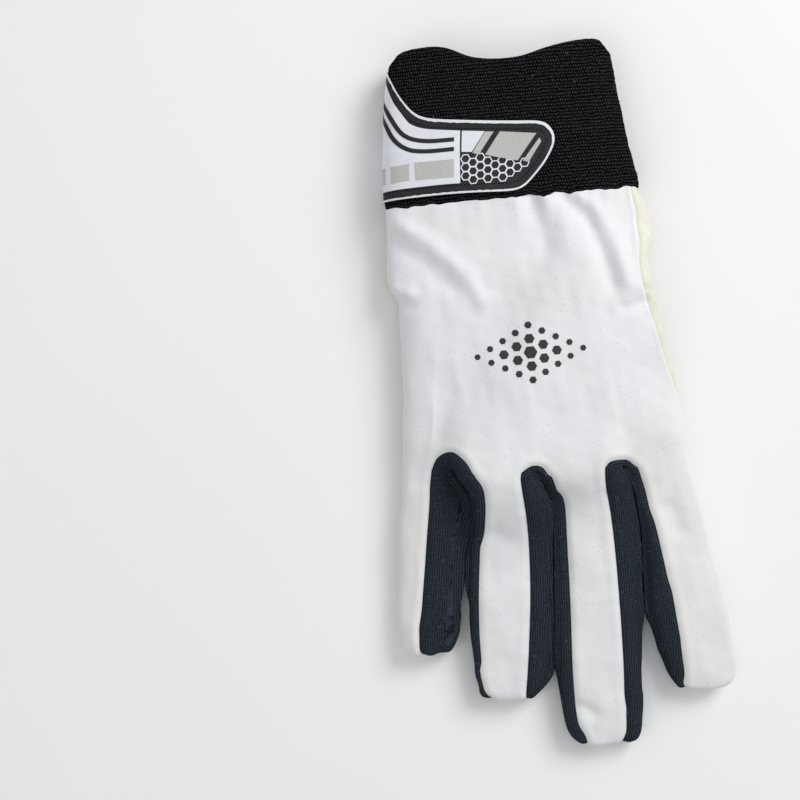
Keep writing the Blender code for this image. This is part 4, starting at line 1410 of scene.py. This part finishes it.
def chamois_material():
    shade = Shade("chamois", Roughness=0.93, Sheen_Weight=0.35)
    place = shade.place()
    tint = colour("chamois")
    cloud = shade.noise(place, 120.0, 4.0, 0.62)
    nap = shade.noise(place, 1500.0, 4.0, 0.7)
    base = shade.mix(shade.between(cloud, 0.35, 0.68), shaded(tint, 0.90), shaded(tint, 1.06))
    base = shade.mix(shade.between(nap, 0.42, 0.66, 0.0, 0.55), base, shaded(tint, 0.80))
    seam = shade.attribute("seam")
    # Painted shade: a thin darker line right along each seam.
    base = shade.mix(shade.between(seam, 0.0, 0.0008, 0.45, 0.0), base, shaded(tint, 0.6))
    return shade.made(Base_Color=base, Normal=shade.bump(nap + cloud * 0.8, 0.00022, 0.7))


# The knit between the fingers: the width of a column of stitches, the height of a row, how far
# the columns wander, how steep the chevrons are, and the colour of lint.
WALE_WIDTH = 0.00085
ROW_HEIGHT = 0.00080
WALE_WANDER = 0.0008
CHEVRON = 2.4
KNIT_LINT = (0.20, 0.22, 0.25, 1.0)


def side_knit_material():
    """Fine jersey: rows of small chevrons along each finger, with a few specks of lint."""
    shade = Shade("side_knit", Roughness=0.95, Sheen_Weight=0.0, Specular_IOR_Level=0.03)
    place = shade.place()
    tint = colour("side_knit")
    loose = shade.noise(place, 420.0, 2.0) * WALE_WANDER
    wale = (shade.attribute("seam") + loose) * (math.pi / WALE_WIDTH)
    chevron = wale.sine().size() * CHEVRON
    rows = (shade.part(place, "Y") * (2 * math.pi / ROW_HEIGHT) + chevron).sine()
    stitch = wale.sine().size() * 0.75 + rows * 0.25
    fuzz = shade.noise(place, 1600.0, 3.0, 0.7)
    # Painted highlight and sheen: the raised stitches and the fuzz are painted lighter than the
    # hollows between them; the chevron pattern itself is the knit's own.
    painted_highlight = shade.between(stitch * 0.55 + fuzz * 0.9, 0.35, 1.05)
    base = shade.mix(painted_highlight, shaded(tint, 0.60), shaded(tint, 3.9))
    lint = shade.between(shade.noise(place, 560.0, 2.0, 0.6), 0.66, 0.72)
    base = shade.mix(lint * 0.2, base, KNIT_LINT)
    return shade.made(Base_Color=base, Normal=shade.bump(stitch + fuzz * 0.6, 0.00022, 0.8))


# The cuff's beads: from one to the next round the cuff and up it, the height over which a row
# leans by one bead, how far they wander both ways, and the colour of lint.
BEAD_WIDTH = 0.00100
BEAD_HEIGHT = 0.00120
BEAD_LEAN = 0.0036
BEAD_WANDER = (0.0016, 0.0014)
CUFF_LINT = (0.18, 0.18, 0.19, 1.0)


def cuff_knit_material():
    """Crepe knit: small uneven beads in rows that lean one way and the other."""
    shade = Shade("cuff_knit", Roughness=0.95, Sheen_Weight=0.0, Specular_IOR_Level=0.0)
    place = shade.place()
    tint = colour("cuff_knit")
    drift = shade.noise(place, 330.0, 3.0, 0.6) * BEAD_WANDER[0]
    around = shade.attribute("around") + drift
    rise = shade.attribute("rise") + shade.noise(place, 410.0, 2.0, 0.6) * BEAD_WANDER[1]
    first = (around * (2 * math.pi / BEAD_WIDTH) + rise * (2 * math.pi / BEAD_LEAN)).sine()
    second = (rise * (2 * math.pi / BEAD_HEIGHT)).sine()
    grain = shade.noise(place, 1300.0, 3.0, 0.65)
    bead = (first + 1.0) * (second + 1.0) * 0.20 + grain * 1.1
    # Painted highlight: the tops of the beads are painted lighter than the hollows between them.
    painted_highlight = shade.between(bead, 0.60, 1.25)
    base = shade.mix(painted_highlight, shaded(tint, 0.50), shaded(tint, 7.5))
    lint = shade.between(shade.noise(place, 480.0, 2.0, 0.6), 0.70, 0.76)
    base = shade.mix(lint * 0.4, base, CUFF_LINT)
    return shade.made(Base_Color=base, Normal=shade.bump(bead, 0.0004, 0.9))


def badge_black_material():
    shade = Shade("badge_black", Roughness=0.6, Specular_IOR_Level=0.25)
    place = shade.place()
    tint = colour("badge_black")
    grain = shade.noise(place, 1700.0, 3.0, 0.6)
    worn = shade.between(shade.noise(place, 260.0, 3.0, 0.6), 0.42, 0.66)
    base = shade.mix(worn * 0.5 + grain * 0.2, shaded(tint, 0.85), shaded(tint, 1.5))
    return shade.made(Base_Color=base, Normal=shade.bump(grain, 0.00005, 0.6))


def badge_white_material():
    shade = Shade("badge_white", Roughness=0.28, Coat_Weight=0.3, Coat_Roughness=0.15)
    place = shade.place()
    tint = colour("badge_white")
    broad = shade.between(shade.noise(place, 150.0, 3.0), 0.3, 0.7)
    dirt = shade.between(shade.noise(place, 900.0, 3.0, 0.65), 0.60, 0.74)
    base = shade.mix(broad, shaded(tint, 0.95), shaded(tint, 1.04))
    base = shade.mix(dirt * 0.14, base, shaded(tint, 0.5))
    return shade.made(Base_Color=base, Normal=shade.bump(broad, 0.00008, 0.35))


def badge_grey_material():
    """Grey film with a fine silvery grain."""
    shade = Shade("badge_grey", Roughness=0.45, Metallic=0.15)
    place = shade.place()
    tint = colour("badge_grey")
    grain = shade.noise(place, 1500.0, 3.0, 0.8)
    base = shade.mix(shade.between(grain, 0.35, 0.68), shaded(tint, 0.92), shaded(tint, 1.07))
    return shade.made(Base_Color=base, Normal=shade.bump(grain, 0.00003, 0.5))


def thread_material():
    shade = Shade("badge_thread", Roughness=0.7, Specular_IOR_Level=0.2)
    fibre = shade.noise(shade.place(), 2600.0, 2.0, 0.6)
    tint = colour("thread")
    base = shade.mix(fibre, shaded(tint, 0.6), shaded(tint, 1.6))
    return shade.made(Base_Color=base, Normal=shade.bump(fibre, 0.00005, 0.6))


def print_material():
    """Matt print that lets a little of the cloth's grain through."""
    shade = Shade("back_print", Roughness=0.8)
    place = shade.place()
    tint = colour("back_print")
    grain = shade.noise(place, 2200.0, 2.0, 0.6)
    base = shade.mix(shade.between(grain, 0.50, 0.72, 0.0, 0.5), tint, shaded(tint, 3.0))
    return shade.made(Base_Color=base, Normal=shade.bump(grain, 0.00004, 0.5))


def floor_material():
    shade = Shade("pale_floor", Roughness=0.9)
    faint = shade.noise(shade.place(), 6.0, 2.0)
    base = shade.mix(faint, (0.93, 0.93, 0.93, 1.0), (0.96, 0.96, 0.96, 1.0))
    return shade.made(Base_Color=base)


def material_of(name):
    """A finish by its name, made the first time that a piece asks for it. The solids that the
    frame loads have materials of the slots' names, so a finish has a name of its own."""
    return bpy.data.materials.get(name + FINISH) or MAKERS[name]()


MAKERS = {
    "back_cloth": back_cloth_material,
    "chamois": chamois_material,
    "side_knit": side_knit_material,
    "cuff_knit": cuff_knit_material,
    "badge_black": badge_black_material,
    "badge_white": badge_white_material,
    "badge_grey": badge_grey_material,
    "badge_thread": thread_material,
    "back_print": print_material,
    "pale_floor": floor_material,
}


def length_property(name, description, default):
    return bpy.props.FloatProperty(
        name=name, description=description, default=default, unit="LENGTH")


class InnerGloveSizes(bpy.types.PropertyGroup):
    back_wall: length_property("Back cloth", "Thickness of the stretch cloth on the back",
                               BACK_WALL)
    palm_wall: length_property("Palm leather", "Thickness of the chamois palm", PALM_WALL)
    side_wall: length_property("Finger sides", "Thickness of the knit between the fingers",
                               SIDE_WALL)
    thumb_wall: length_property("Thumb leather", "Thickness of the chamois thumb", THUMB_WALL)
    cuff_wall: length_property("Cuff knit", "Thickness of the doubled cuff", CUFF_WALL)
    seam_depth: length_property("Seam depth", "How deep the seams are drawn in", 0.00055)
    seam_width: length_property("Seam width", "How wide the valley at a seam is on each side",
                                0.0009)
    pucker_height: length_property("Puckers", "Height of the small puckers along the seams",
                                   0.00012)
    softness: length_property("Softness", "Height of the broad uneven places in the cloth",
                              0.00026)
    fold_scale: bpy.props.FloatProperty(
        name="Folds", description="How strong the folds on the back are", default=1.5)
    stitch_pitch: length_property("Stitch pitch", "Distance from one badge stitch to the next",
                                  0.00135)
    print_width: length_property("Print width", "Width of the printed cluster on the back", 0.042)


def tint_property(name, description, default):
    return bpy.props.FloatVectorProperty(
        name=name, description=description, default=default, subtype="COLOR", size=3,
        min=0.0, max=1.0)


class InnerGloveColours(bpy.types.PropertyGroup):
    back_cloth: tint_property("Back cloth", "The stretch cloth on the back", (0.84, 0.85, 0.875))
    chamois: tint_property("Chamois", "The palm and thumb leather", (0.82, 0.81, 0.68))
    side_knit: tint_property("Finger sides", "The knit between the fingers",
                             (0.0105, 0.0132, 0.0172))
    cuff_knit: tint_property("Cuff", "The elastic knit of the cuff", (0.0060, 0.0060, 0.0065))
    badge_black: tint_property("Badge", "The moulded plate", (0.020, 0.020, 0.022))
    badge_white: tint_property("Badge white", "The badge's rim and panel", (0.80, 0.82, 0.87))
    badge_grey: tint_property("Badge grey", "The badge's grey film", (0.53, 0.54, 0.52))
    thread: tint_property("Thread", "The stitches round the badge", (0.004, 0.004, 0.004))
    back_print: tint_property("Print", "The printed cluster on the back", (0.030, 0.030, 0.034))


class MakeBackPanel(bpy.types.Operator):
    """Make the stretch cloth on the back of the hand and fingers"""

    bl_idname = "inner_glove.back_panel"
    bl_label = "Back panel"

    def execute(self, context):
        piece = panel_piece("back_panel", context.scene.inner_glove_sizes.back_wall)
        finished(piece, "back_cloth", material_of("back_cloth"), "back_panel")
        return {"FINISHED"}


class MakePalmPanel(bpy.types.Operator):
    """Make the chamois under the hand and fingers and up the thumb side"""

    bl_idname = "inner_glove.palm_panel"
    bl_label = "Palm panel"

    def execute(self, context):
        piece = panel_piece("palm_panel", context.scene.inner_glove_sizes.palm_wall)
        finished(piece, "chamois", material_of("chamois"), "palm_panel")
        return {"FINISHED"}


class MakeFingerSides(bpy.types.Operator):
    """Make the three knit strips between the fingers"""

    bl_idname = "inner_glove.finger_sides"
    bl_label = "Finger sides"

    def execute(self, context):
        cuts = (("side_little_ring", 0.150, 0.00309), ("side_ring_middle", 0.182, 0.00343),
                ("side_middle_index", 0.183, 0.00356))
        for name, length, area in cuts:
            piece = panel_piece(name, context.scene.inner_glove_sizes.side_wall)
            finished(piece, "side_knit", material_of("side_knit"), name)
        return {"FINISHED"}


class MakeThumb(bpy.types.Operator):
    """Make the chamois thumb that is folded under the palm"""

    bl_idname = "inner_glove.thumb"
    bl_label = "Thumb"

    def execute(self, context):
        piece = panel_piece("thumb", context.scene.inner_glove_sizes.thumb_wall)
        finished(piece, "chamois", material_of("chamois"), "thumb")
        return {"FINISHED"}


class MakeCuff(bpy.types.Operator):
    """Make the knitted cuff"""

    bl_idname = "inner_glove.cuff"
    bl_label = "Cuff"

    def execute(self, context):
        piece = cuff_cloth(context.scene.inner_glove_sizes.cuff_wall)
        finished(piece, "cuff_knit", material_of("cuff_knit"), "cuff")
        return {"FINISHED"}


# Heights above the cuff's cloth.
PLATE_TOP = BADGE_GAP + BADGE_THICKNESS
FACE_TOP = PLATE_TOP + 0.00042
# How uneven the rim's inner edge is, and how far its waves are apart.
RAGGED_EDGE = 0.00009
RAGGED_LENGTH = 0.0017
# The rim is sunk this far into the plate, is this thick and has edges rounded by this much.
RIM_SINK = 0.0008
RIM_THICKNESS = 0.0012
RIM_ROUNDING = 0.00018
# Shares of BADGE_RIM_WIDTH: how far in the plate starts, and how wide the rim is. The rim leans
# by this share, wider above, and is this much thinner near the little finger side.
PLATE_INSET = 0.12
RIM_WIDE = 0.66
RIM_LEAN = 0.22
RIM_THINNING = 0.70
# The stitches: how far in from the badge's edge, and their size. A length is a share of the
# stitches' pitch.
STITCH_INSET = 0.0029
STITCH_LENGTH = 0.36
STITCH_HALF_WIDTH = 0.00023
STITCH_HALF_HEIGHT = 0.00018
STITCH_LIFT = 0.00002
# The white panel's borders as shares of BADGE_BORDER: below, above at the little finger side,
# and how much more above further on, which it reaches at a distance of PANEL_WIDENING.
PANEL_LOW = 0.84
PANEL_HIGH = 0.50
PANEL_HIGH_MORE = 0.39
PANEL_WIDENING = 0.018
STRIPE_WIDTH = 0.00150
# How far the stripes, blocks, windows and honeycomb stand up.
STRIPE_RISE = 0.00014
BLOCK_RISE = 0.00008
WINDOW_RISE = 0.00022
HONEYCOMB_RISE = 0.00016
# The lines in the middle of each dark stripe, and the corners of the grey blocks, of the
# windows and of the honeycomb's field.
STRIPES = (
    ((-0.0010, 0.0416), (0.0010, 0.0390), (0.0034, 0.0358), (0.0060, 0.0316), (0.0082, 0.0281),
     (0.0106, 0.0254), (0.0142, 0.0235), (0.0198, 0.0224), (0.0284, 0.0222)),
    ((-0.0010, 0.0372), (0.0012, 0.0340), (0.0038, 0.0300), (0.0062, 0.0256), (0.0082, 0.0230),
     (0.0108, 0.0209), (0.0142, 0.0195), (0.0200, 0.0188), (0.0284, 0.0188)),
)
BLOCKS = (
    ((0.0143, 0.0153), (0.0284, 0.0152), (0.0283, 0.0088), (0.0147, 0.0089)),
    ((0.0060, 0.0146), (0.0126, 0.0151), (0.0125, 0.0091), (0.0061, 0.0087)),
    ((-0.0041, 0.0145), (0.0041, 0.0145), (0.0040, 0.0086), (-0.0040, 0.0086)),
)
WINDOWS = (
    Shape("white", "badge_white", ((0.0311, 0.0251), (0.0393, 0.0242), (0.0348, 0.0172),
                                   (0.0311, 0.0175))),
    Shape("sliver", "badge_grey", ((0.0394, 0.0241), (0.0425, 0.0238), (0.0374, 0.0162),
                                   (0.0349, 0.0168))),
    Shape("large", "badge_grey", ((0.0447, 0.0237), (0.0578, 0.0219), (0.0512, 0.0128),
                                  (0.0395, 0.0158))),
    Shape("end", "badge_grey", ((0.0589, 0.0203), (0.0596, 0.0188), (0.0551, 0.0119),
                                (0.0530, 0.0126))),
)
HONEYCOMB = ((0.0311, 0.0171), (0.0560, 0.0119), (0.0470, 0.0040), (0.0311, 0.0050))
# How far a cell reaches past its own share of the pitch, and how wide its line is, as shares of
# HEXAGON_LINE.
HEXAGON_OVERLAP = 0.3
HEXAGON_STROKE = 1.2
# The honeycomb's first column and row, from the left of its field and from the wrist seam.
HONEYCOMB_START = 0.0014
HONEYCOMB_LOW = 0.0066


def mirrored(corners):
    return tuple((-x, y) for x, y in corners)[::-1]


def both_sides(name, corners, base, thickness, edge=0.00012):
    """A flat shape of the badge, and its mirror image round the palm side."""
    return [slab(name, corners, base, thickness, edge),
            slab(name, mirrored(corners), base, thickness, edge)]


def inside(x, y, corners):
    """Whether a flat point lies inside an outline."""
    within = False
    for (x1, y1), (x2, y2) in zip(corners, corners[1:] + corners[:1]):
        if (y1 > y) != (y2 > y) and x < x1 + (x2 - x1) * (y - y1) / (y2 - y1):
            within = not within
    return within


def honeycomb_cells():
    """The middles of the honeycomb's cells, in columns that step up and down by half a cell."""
    cells = []
    column_step = HEXAGON_PITCH * math.sqrt(3) / 2
    for k in range(12):
        x = HONEYCOMB[0][0] + HONEYCOMB_START + k * column_step
        for row in range(6):
            y = HONEYCOMB_LOW + (row + (0.5 if k % 2 else 1.0) - 0.25) * HEXAGON_PITCH
            if inside(x, y, HONEYCOMB):
                cells.append((x, y))
    return cells


def hexagon(x, y, radius):
    return [(x + radius * math.cos(math.radians(60 * k)), y + radius * math.sin(
        math.radians(60 * k))) for k in range(6)]


class MakeBadgePlate(bpy.types.Operator):
    """Make the badge's moulded plate and the raised rim round it"""

    bl_idname = "inner_glove.badge_plate"
    bl_label = "Badge plate"

    def execute(self, context):
        outline = [tuple(p) for p in badge_ring(BADGE_RIM_WIDTH * PLATE_INSET)]
        plate = slab("badge_plate", outline, BADGE_GAP, BADGE_THICKNESS, 0.0)
        finished(plate, "badge_black", material_of("badge_black"), "badge")
        inner = badge_ring(BADGE_RIM_WIDTH * RIM_WIDE, RIM_LEAN, RIM_THINNING)
        height = np.concatenate([inner, np.zeros((len(inner), 1))], axis=1)
        inner += (RAGGED_EDGE * unevenness(height, RAGGED_LENGTH, 41))[:, None]
        rim = band("badge_edge", badge_ring(0.0), inner, PLATE_TOP - RIM_SINK, RIM_THICKNESS,
                   RIM_ROUNDING)
        finished(rim, "badge_white", material_of("badge_white"), "badge_rim")
        return {"FINISHED"}


class MakeBadgeFace(bpy.types.Operator):
    """Make the white panel of the badge, with its dark stripes and grey blocks"""

    bl_idname = "inner_glove.badge_face"
    bl_label = "Badge face"

    def execute(self, context):
        reaches = [BADGE_PANEL_REACH * k / 60 for k in range(-60, 61)]
        outline = [(r, badge_edge("low", r, BADGE_BORDER * PANEL_LOW)) for r in reaches]
        for r in reversed(reaches):
            more = PANEL_HIGH_MORE * smooth_step(abs(r) / PANEL_WIDENING)
            border = BADGE_BORDER * (PANEL_HIGH + more)
            outline.append((r, badge_edge("high", r, border)))
        face = slab("badge_face", outline, PLATE_TOP, FACE_TOP - PLATE_TOP)
        finished(face, "badge_white", material_of("badge_white"), "badge_panel")
        stripes = []
        for path in STRIPES:
            line = [p for p in smooth_line(path, 60) if p[0] >= 0]
            line = [(-x, y) for x, y in reversed(line[1:])] + line
            stripes.append(slab("stripe", ribbon_outline(line, STRIPE_WIDTH), FACE_TOP,
                                STRIPE_RISE, 0.00004))
        stripes = joined("badge_stripes", stripes)
        finished(stripes, "badge_black", material_of("badge_black"))
        blocks = []
        for corners in BLOCKS[:2]:
            blocks += both_sides("block", corners, FACE_TOP, BLOCK_RISE, 0.0)
        blocks.append(slab("block", BLOCKS[2], FACE_TOP, BLOCK_RISE, 0.0))
        blocks = joined("badge_blocks", blocks)
        finished(blocks, "badge_white", material_of("badge_grey"))
        return {"FINISHED"}


class MakeBadgeWindows(bpy.types.Operator):
    """Make the slanted windows and the honeycomb at the badge's end"""

    bl_idname = "inner_glove.badge_windows"
    bl_label = "Badge windows"

    def execute(self, context):
        for finish in ("badge_white", "badge_grey"):
            parts = []
            for shape in WINDOWS:
                if shape.finish == finish:
                    parts += both_sides(shape.name, shape.corners, PLATE_TOP, WINDOW_RISE)
            windows = joined("badge_windows_" + finish.removeprefix("badge_"), parts)
            finished(windows, "badge_white", material_of(finish))
        parts = []
        for x, y in honeycomb_cells():
            outer = HEXAGON_PITCH / math.sqrt(3) + HEXAGON_LINE * HEXAGON_OVERLAP
            inner = outer - HEXAGON_LINE * HEXAGON_STROKE
            rings = [hexagon(x, y, outer), hexagon(x, y, inner)]
            for side in (1, -1):
                flipped = [[(side * a, b) for a, b in ring] for ring in rings]
                parts.append(band("cell", *flipped, PLATE_TOP, HONEYCOMB_RISE, 0.00003))
        comb = joined("badge_honeycomb", parts)
        finished(comb, "badge_white", material_of("badge_white"))
        return {"FINISHED"}


def points_along(line, pitch):
    """Evenly spaced points on a closed flat line, each with the line's direction there."""
    closed = np.concatenate([line, line[:1]])
    steps = np.linalg.norm(np.diff(closed, axis=0), axis=1)
    far = np.concatenate([[0.0], np.cumsum(steps)])
    count = int(far[-1] / pitch)
    at = np.arange(count) * far[-1] / count
    x, y = np.interp(at, far, closed[:, 0]), np.interp(at, far, closed[:, 1])
    ahead = (at + pitch * 0.2) % far[-1]
    ways = np.stack([np.interp(ahead, far, closed[:, 0]) - x,
                     np.interp(ahead, far, closed[:, 1]) - y], axis=1)
    return np.stack([x, y], axis=1), ways / np.linalg.norm(ways, axis=1)[:, None]


class MakeBadgeStitches(bpy.types.Operator):
    """Sew the badge's border with one row of small stitches"""

    bl_idname = "inner_glove.badge_stitches"
    bl_label = "Badge stitches"

    def execute(self, context):
        bpy.ops.object.select_all(action="DESELECT")
        bpy.ops.mesh.primitive_uv_sphere_add(segments=8, ring_count=6, radius=1.0)
        stitch = bpy.context.object
        shape = np.array([tuple(v.co) for v in stitch.data.vertices])
        faces = [tuple(p.vertices) for p in stitch.data.polygons]
        bpy.data.objects.remove(stitch)
        pitch = context.scene.inner_glove_sizes.stitch_pitch
        places, ways = points_along(badge_ring(STITCH_INSET), pitch)
        points, all_faces = [], []
        for (x, y), (a, b) in zip(places, ways):
            length = shape[:, 0] * pitch * STITCH_LENGTH
            wide = shape[:, 1] * STITCH_HALF_WIDTH
            start = len(points) * len(shape)
            high = PLATE_TOP + STITCH_LIFT + shape[:, 2] * STITCH_HALF_HEIGHT
            points.append(np.stack([x + length * a - wide * b, y + length * b + wide * a, high],
                                   axis=1))
            all_faces += [tuple(start + i for i in face) for face in faces]
        piece = new_piece("badge_stitches", np.concatenate(points), all_faces)
        bpy.ops.object.shade_smooth()
        wrapped(piece)
        finished(piece, "badge_black", material_of("badge_thread"))
        return {"FINISHED"}


# The printed lozenge's half width and half height as shares of its width, and the largest cell
# as a share of the pitch, with how much smaller the cells are at its edge.
PRINT_COLUMNS = 9
PRINT_ACROSS = 0.52
PRINT_UP = 0.33
PRINT_CELL = 0.52
PRINT_FADE = 0.62


def print_cells(width):
    """Middles and sizes of the printed hexagons: a lozenge, largest in the middle."""
    pitch = width / PRINT_COLUMNS
    cells = []
    for k in range(-4, 5):
        for row in range(-3, 4):
            x = k * pitch
            y = (row + (0.5 if k % 2 else 0.0)) * pitch * 1.05
            away = abs(x) / (width * PRINT_ACROSS) + abs(y) / (width * PRINT_UP)
            if away < 1.0:
                cells.append((x, y, pitch * PRINT_CELL * (1.0 - PRINT_FADE * away)))
    return cells


# The middle of the print on the back, how high it lies above the cloth and how thick it is.
PRINT_MIDDLE = (-0.0050, 0.0158)
PRINT_GAP = 0.00003
PRINT_THICKNESS = 0.00006


class MakePrint(bpy.types.Operator):
    """Print a plain cluster of hexagons on the back of the hand"""

    bl_idname = "inner_glove.back_print"
    bl_label = "Print"

    def execute(self, context):
        cloth = bpy.data.objects["back_panel_cloth"]
        tree = BVHTree.FromPolygons([v.co for v in cloth.data.vertices],
                                    [tuple(p.vertices) for p in cloth.data.polygons])
        points, faces = [], []
        for x, y, radius in print_cells(context.scene.inner_glove_sizes.print_width):
            start = len(points)
            middle = (PRINT_MIDDLE[0] + x, PRINT_MIDDLE[1] + y)
            flat = [middle, *hexagon(*middle, radius * 0.5), *hexagon(*middle, radius * 1.0)]
            for a, b in flat:
                hit = tree.ray_cast(Vector((a, b, 0.1)), Vector((0, 0, -1)))
                points.append((a, b, hit[0].z + PRINT_GAP))
            for k in range(6):
                n = (k + 1) % 6
                faces.append((start, start + 1 + k, start + 1 + n))
                faces.append((start + 1 + k, start + 7 + k, start + 7 + n, start + 1 + n))
        piece = new_piece("back_print", points, faces)
        give_wall(piece, PRINT_THICKNESS, 1.0)
        finished(piece, "back_cloth", material_of("back_print"))
        return {"FINISHED"}


# The photograph's frame: its middle on the floor, its width and how far it is turned.
VIEW_MIDDLE = (-0.0526, 0.0030)
VIEW_WIDTH = 0.288
VIEW_TURN = -math.radians(5)
VIEW_LENS = 90.0
SENSOR_WIDTH = 36.0
# The camera's distance is measured from this height.
VIEW_HEIGHT = 0.012
# The lamps: where each one is, the side of its square and its power.
Lamp = namedtuple("Lamp", "name place size power")
LAMPS = (
    Lamp("key", (0.78, 0.64, 0.80), 0.7, 10.6),
    Lamp("fill", (-0.80, -0.35, 1.00), 1.0, 1.9),
    Lamp("overhead", (0.0, 0.0, 1.50), 1.6, 2.8),
)
ROOM_LIGHT = 0.40
ROOM_COLOUR = (0.97, 0.98, 1.0, 1.0)
FLOOR_SIZE = 6.0
FLOOR_HEIGHT = -0.0002


class MakeStage(bpy.types.Operator):
    """Lay the pale floor, and set the soft lights and the camera"""

    bl_idname = "inner_glove.stage"
    bl_label = "Stage"

    def execute(self, context):
        bpy.ops.object.select_all(action="DESELECT")
        bpy.ops.mesh.primitive_plane_add(size=FLOOR_SIZE, location=(0.0, 0.0, FLOOR_HEIGHT))
        floor = bpy.context.object
        floor.name = "pale_floor"
        floor.data.materials.append(material_of("pale_floor"))
        for name, place, size, power in LAMPS:
            bpy.ops.object.light_add(type="AREA", location=place)
            lamp = bpy.context.object
            lamp.name = name
            lamp.data.size = size
            lamp.data.energy = power
            lamp.rotation_euler = Vector(place).to_track_quat("Z", "Y").to_euler()
        world = bpy.data.worlds.new("soft_room")
        world.use_nodes = True
        background = world.node_tree.nodes["Background"]
        background.inputs["Color"].default_value = ROOM_COLOUR
        background.inputs["Strength"].default_value = ROOM_LIGHT
        context.scene.world = world
        far = VIEW_WIDTH * VIEW_LENS / SENSOR_WIDTH
        bpy.ops.object.camera_add(location=(*VIEW_MIDDLE, far + VIEW_HEIGHT),
                                  rotation=(0.0, 0.0, VIEW_TURN))
        camera = bpy.context.object
        camera.name = "photo_camera"
        camera.data.lens = VIEW_LENS
        camera.data.sensor_width = SENSOR_WIDTH
        camera.data.clip_start = 0.01
        camera.data.dof.use_dof = False
        context.scene.camera = camera
        context.scene.view_settings.view_transform = "Standard"
        return {"FINISHED"}


class InnerGlovePanel(bpy.types.Panel):
    """The glove's sizes, colours and pieces"""

    bl_idname = "VIEW3D_PT_inner_glove"
    bl_label = "Inner glove"
    bl_space_type = "VIEW_3D"
    bl_region_type = "UI"
    bl_category = "Inner glove"

    def draw(self, context):
        for group in (context.scene.inner_glove_sizes, context.scene.inner_glove_colours):
            for name in group.__annotations__:
                self.layout.prop(group, name)
        for maker in PIECE_MAKERS:
            self.layout.operator(maker.bl_idname)


PIECE_MAKERS = (MakeBackPanel, MakePalmPanel, MakeFingerSides, MakeThumb, MakeCuff,
                MakeBadgePlate, MakeBadgeFace, MakeBadgeWindows, MakeBadgeStitches, MakePrint,
                MakeStage)
CLASSES = (InnerGloveSizes, InnerGloveColours, *PIECE_MAKERS, InnerGlovePanel)


def register():
    for cls in CLASSES:
        bpy.utils.register_class(cls)
    bpy.types.Scene.inner_glove_sizes = bpy.props.PointerProperty(type=InnerGloveSizes)
    bpy.types.Scene.inner_glove_colours = bpy.props.PointerProperty(type=InnerGloveColours)


def unregister():
    del bpy.types.Scene.inner_glove_colours
    del bpy.types.Scene.inner_glove_sizes
    for cls in reversed(CLASSES):
        bpy.utils.unregister_class(cls)


def main():
    register()
    bpy.ops.inner_glove.back_panel()
    bpy.ops.inner_glove.palm_panel()
    bpy.ops.inner_glove.finger_sides()
    bpy.ops.inner_glove.thumb()
    bpy.ops.inner_glove.cuff()
    bpy.ops.inner_glove.badge_plate()
    bpy.ops.inner_glove.badge_face()
    bpy.ops.inner_glove.badge_windows()
    bpy.ops.inner_glove.badge_stitches()
    bpy.ops.inner_glove.back_print()
    bpy.ops.inner_glove.stage()


if __name__ == "__main__":
    main()
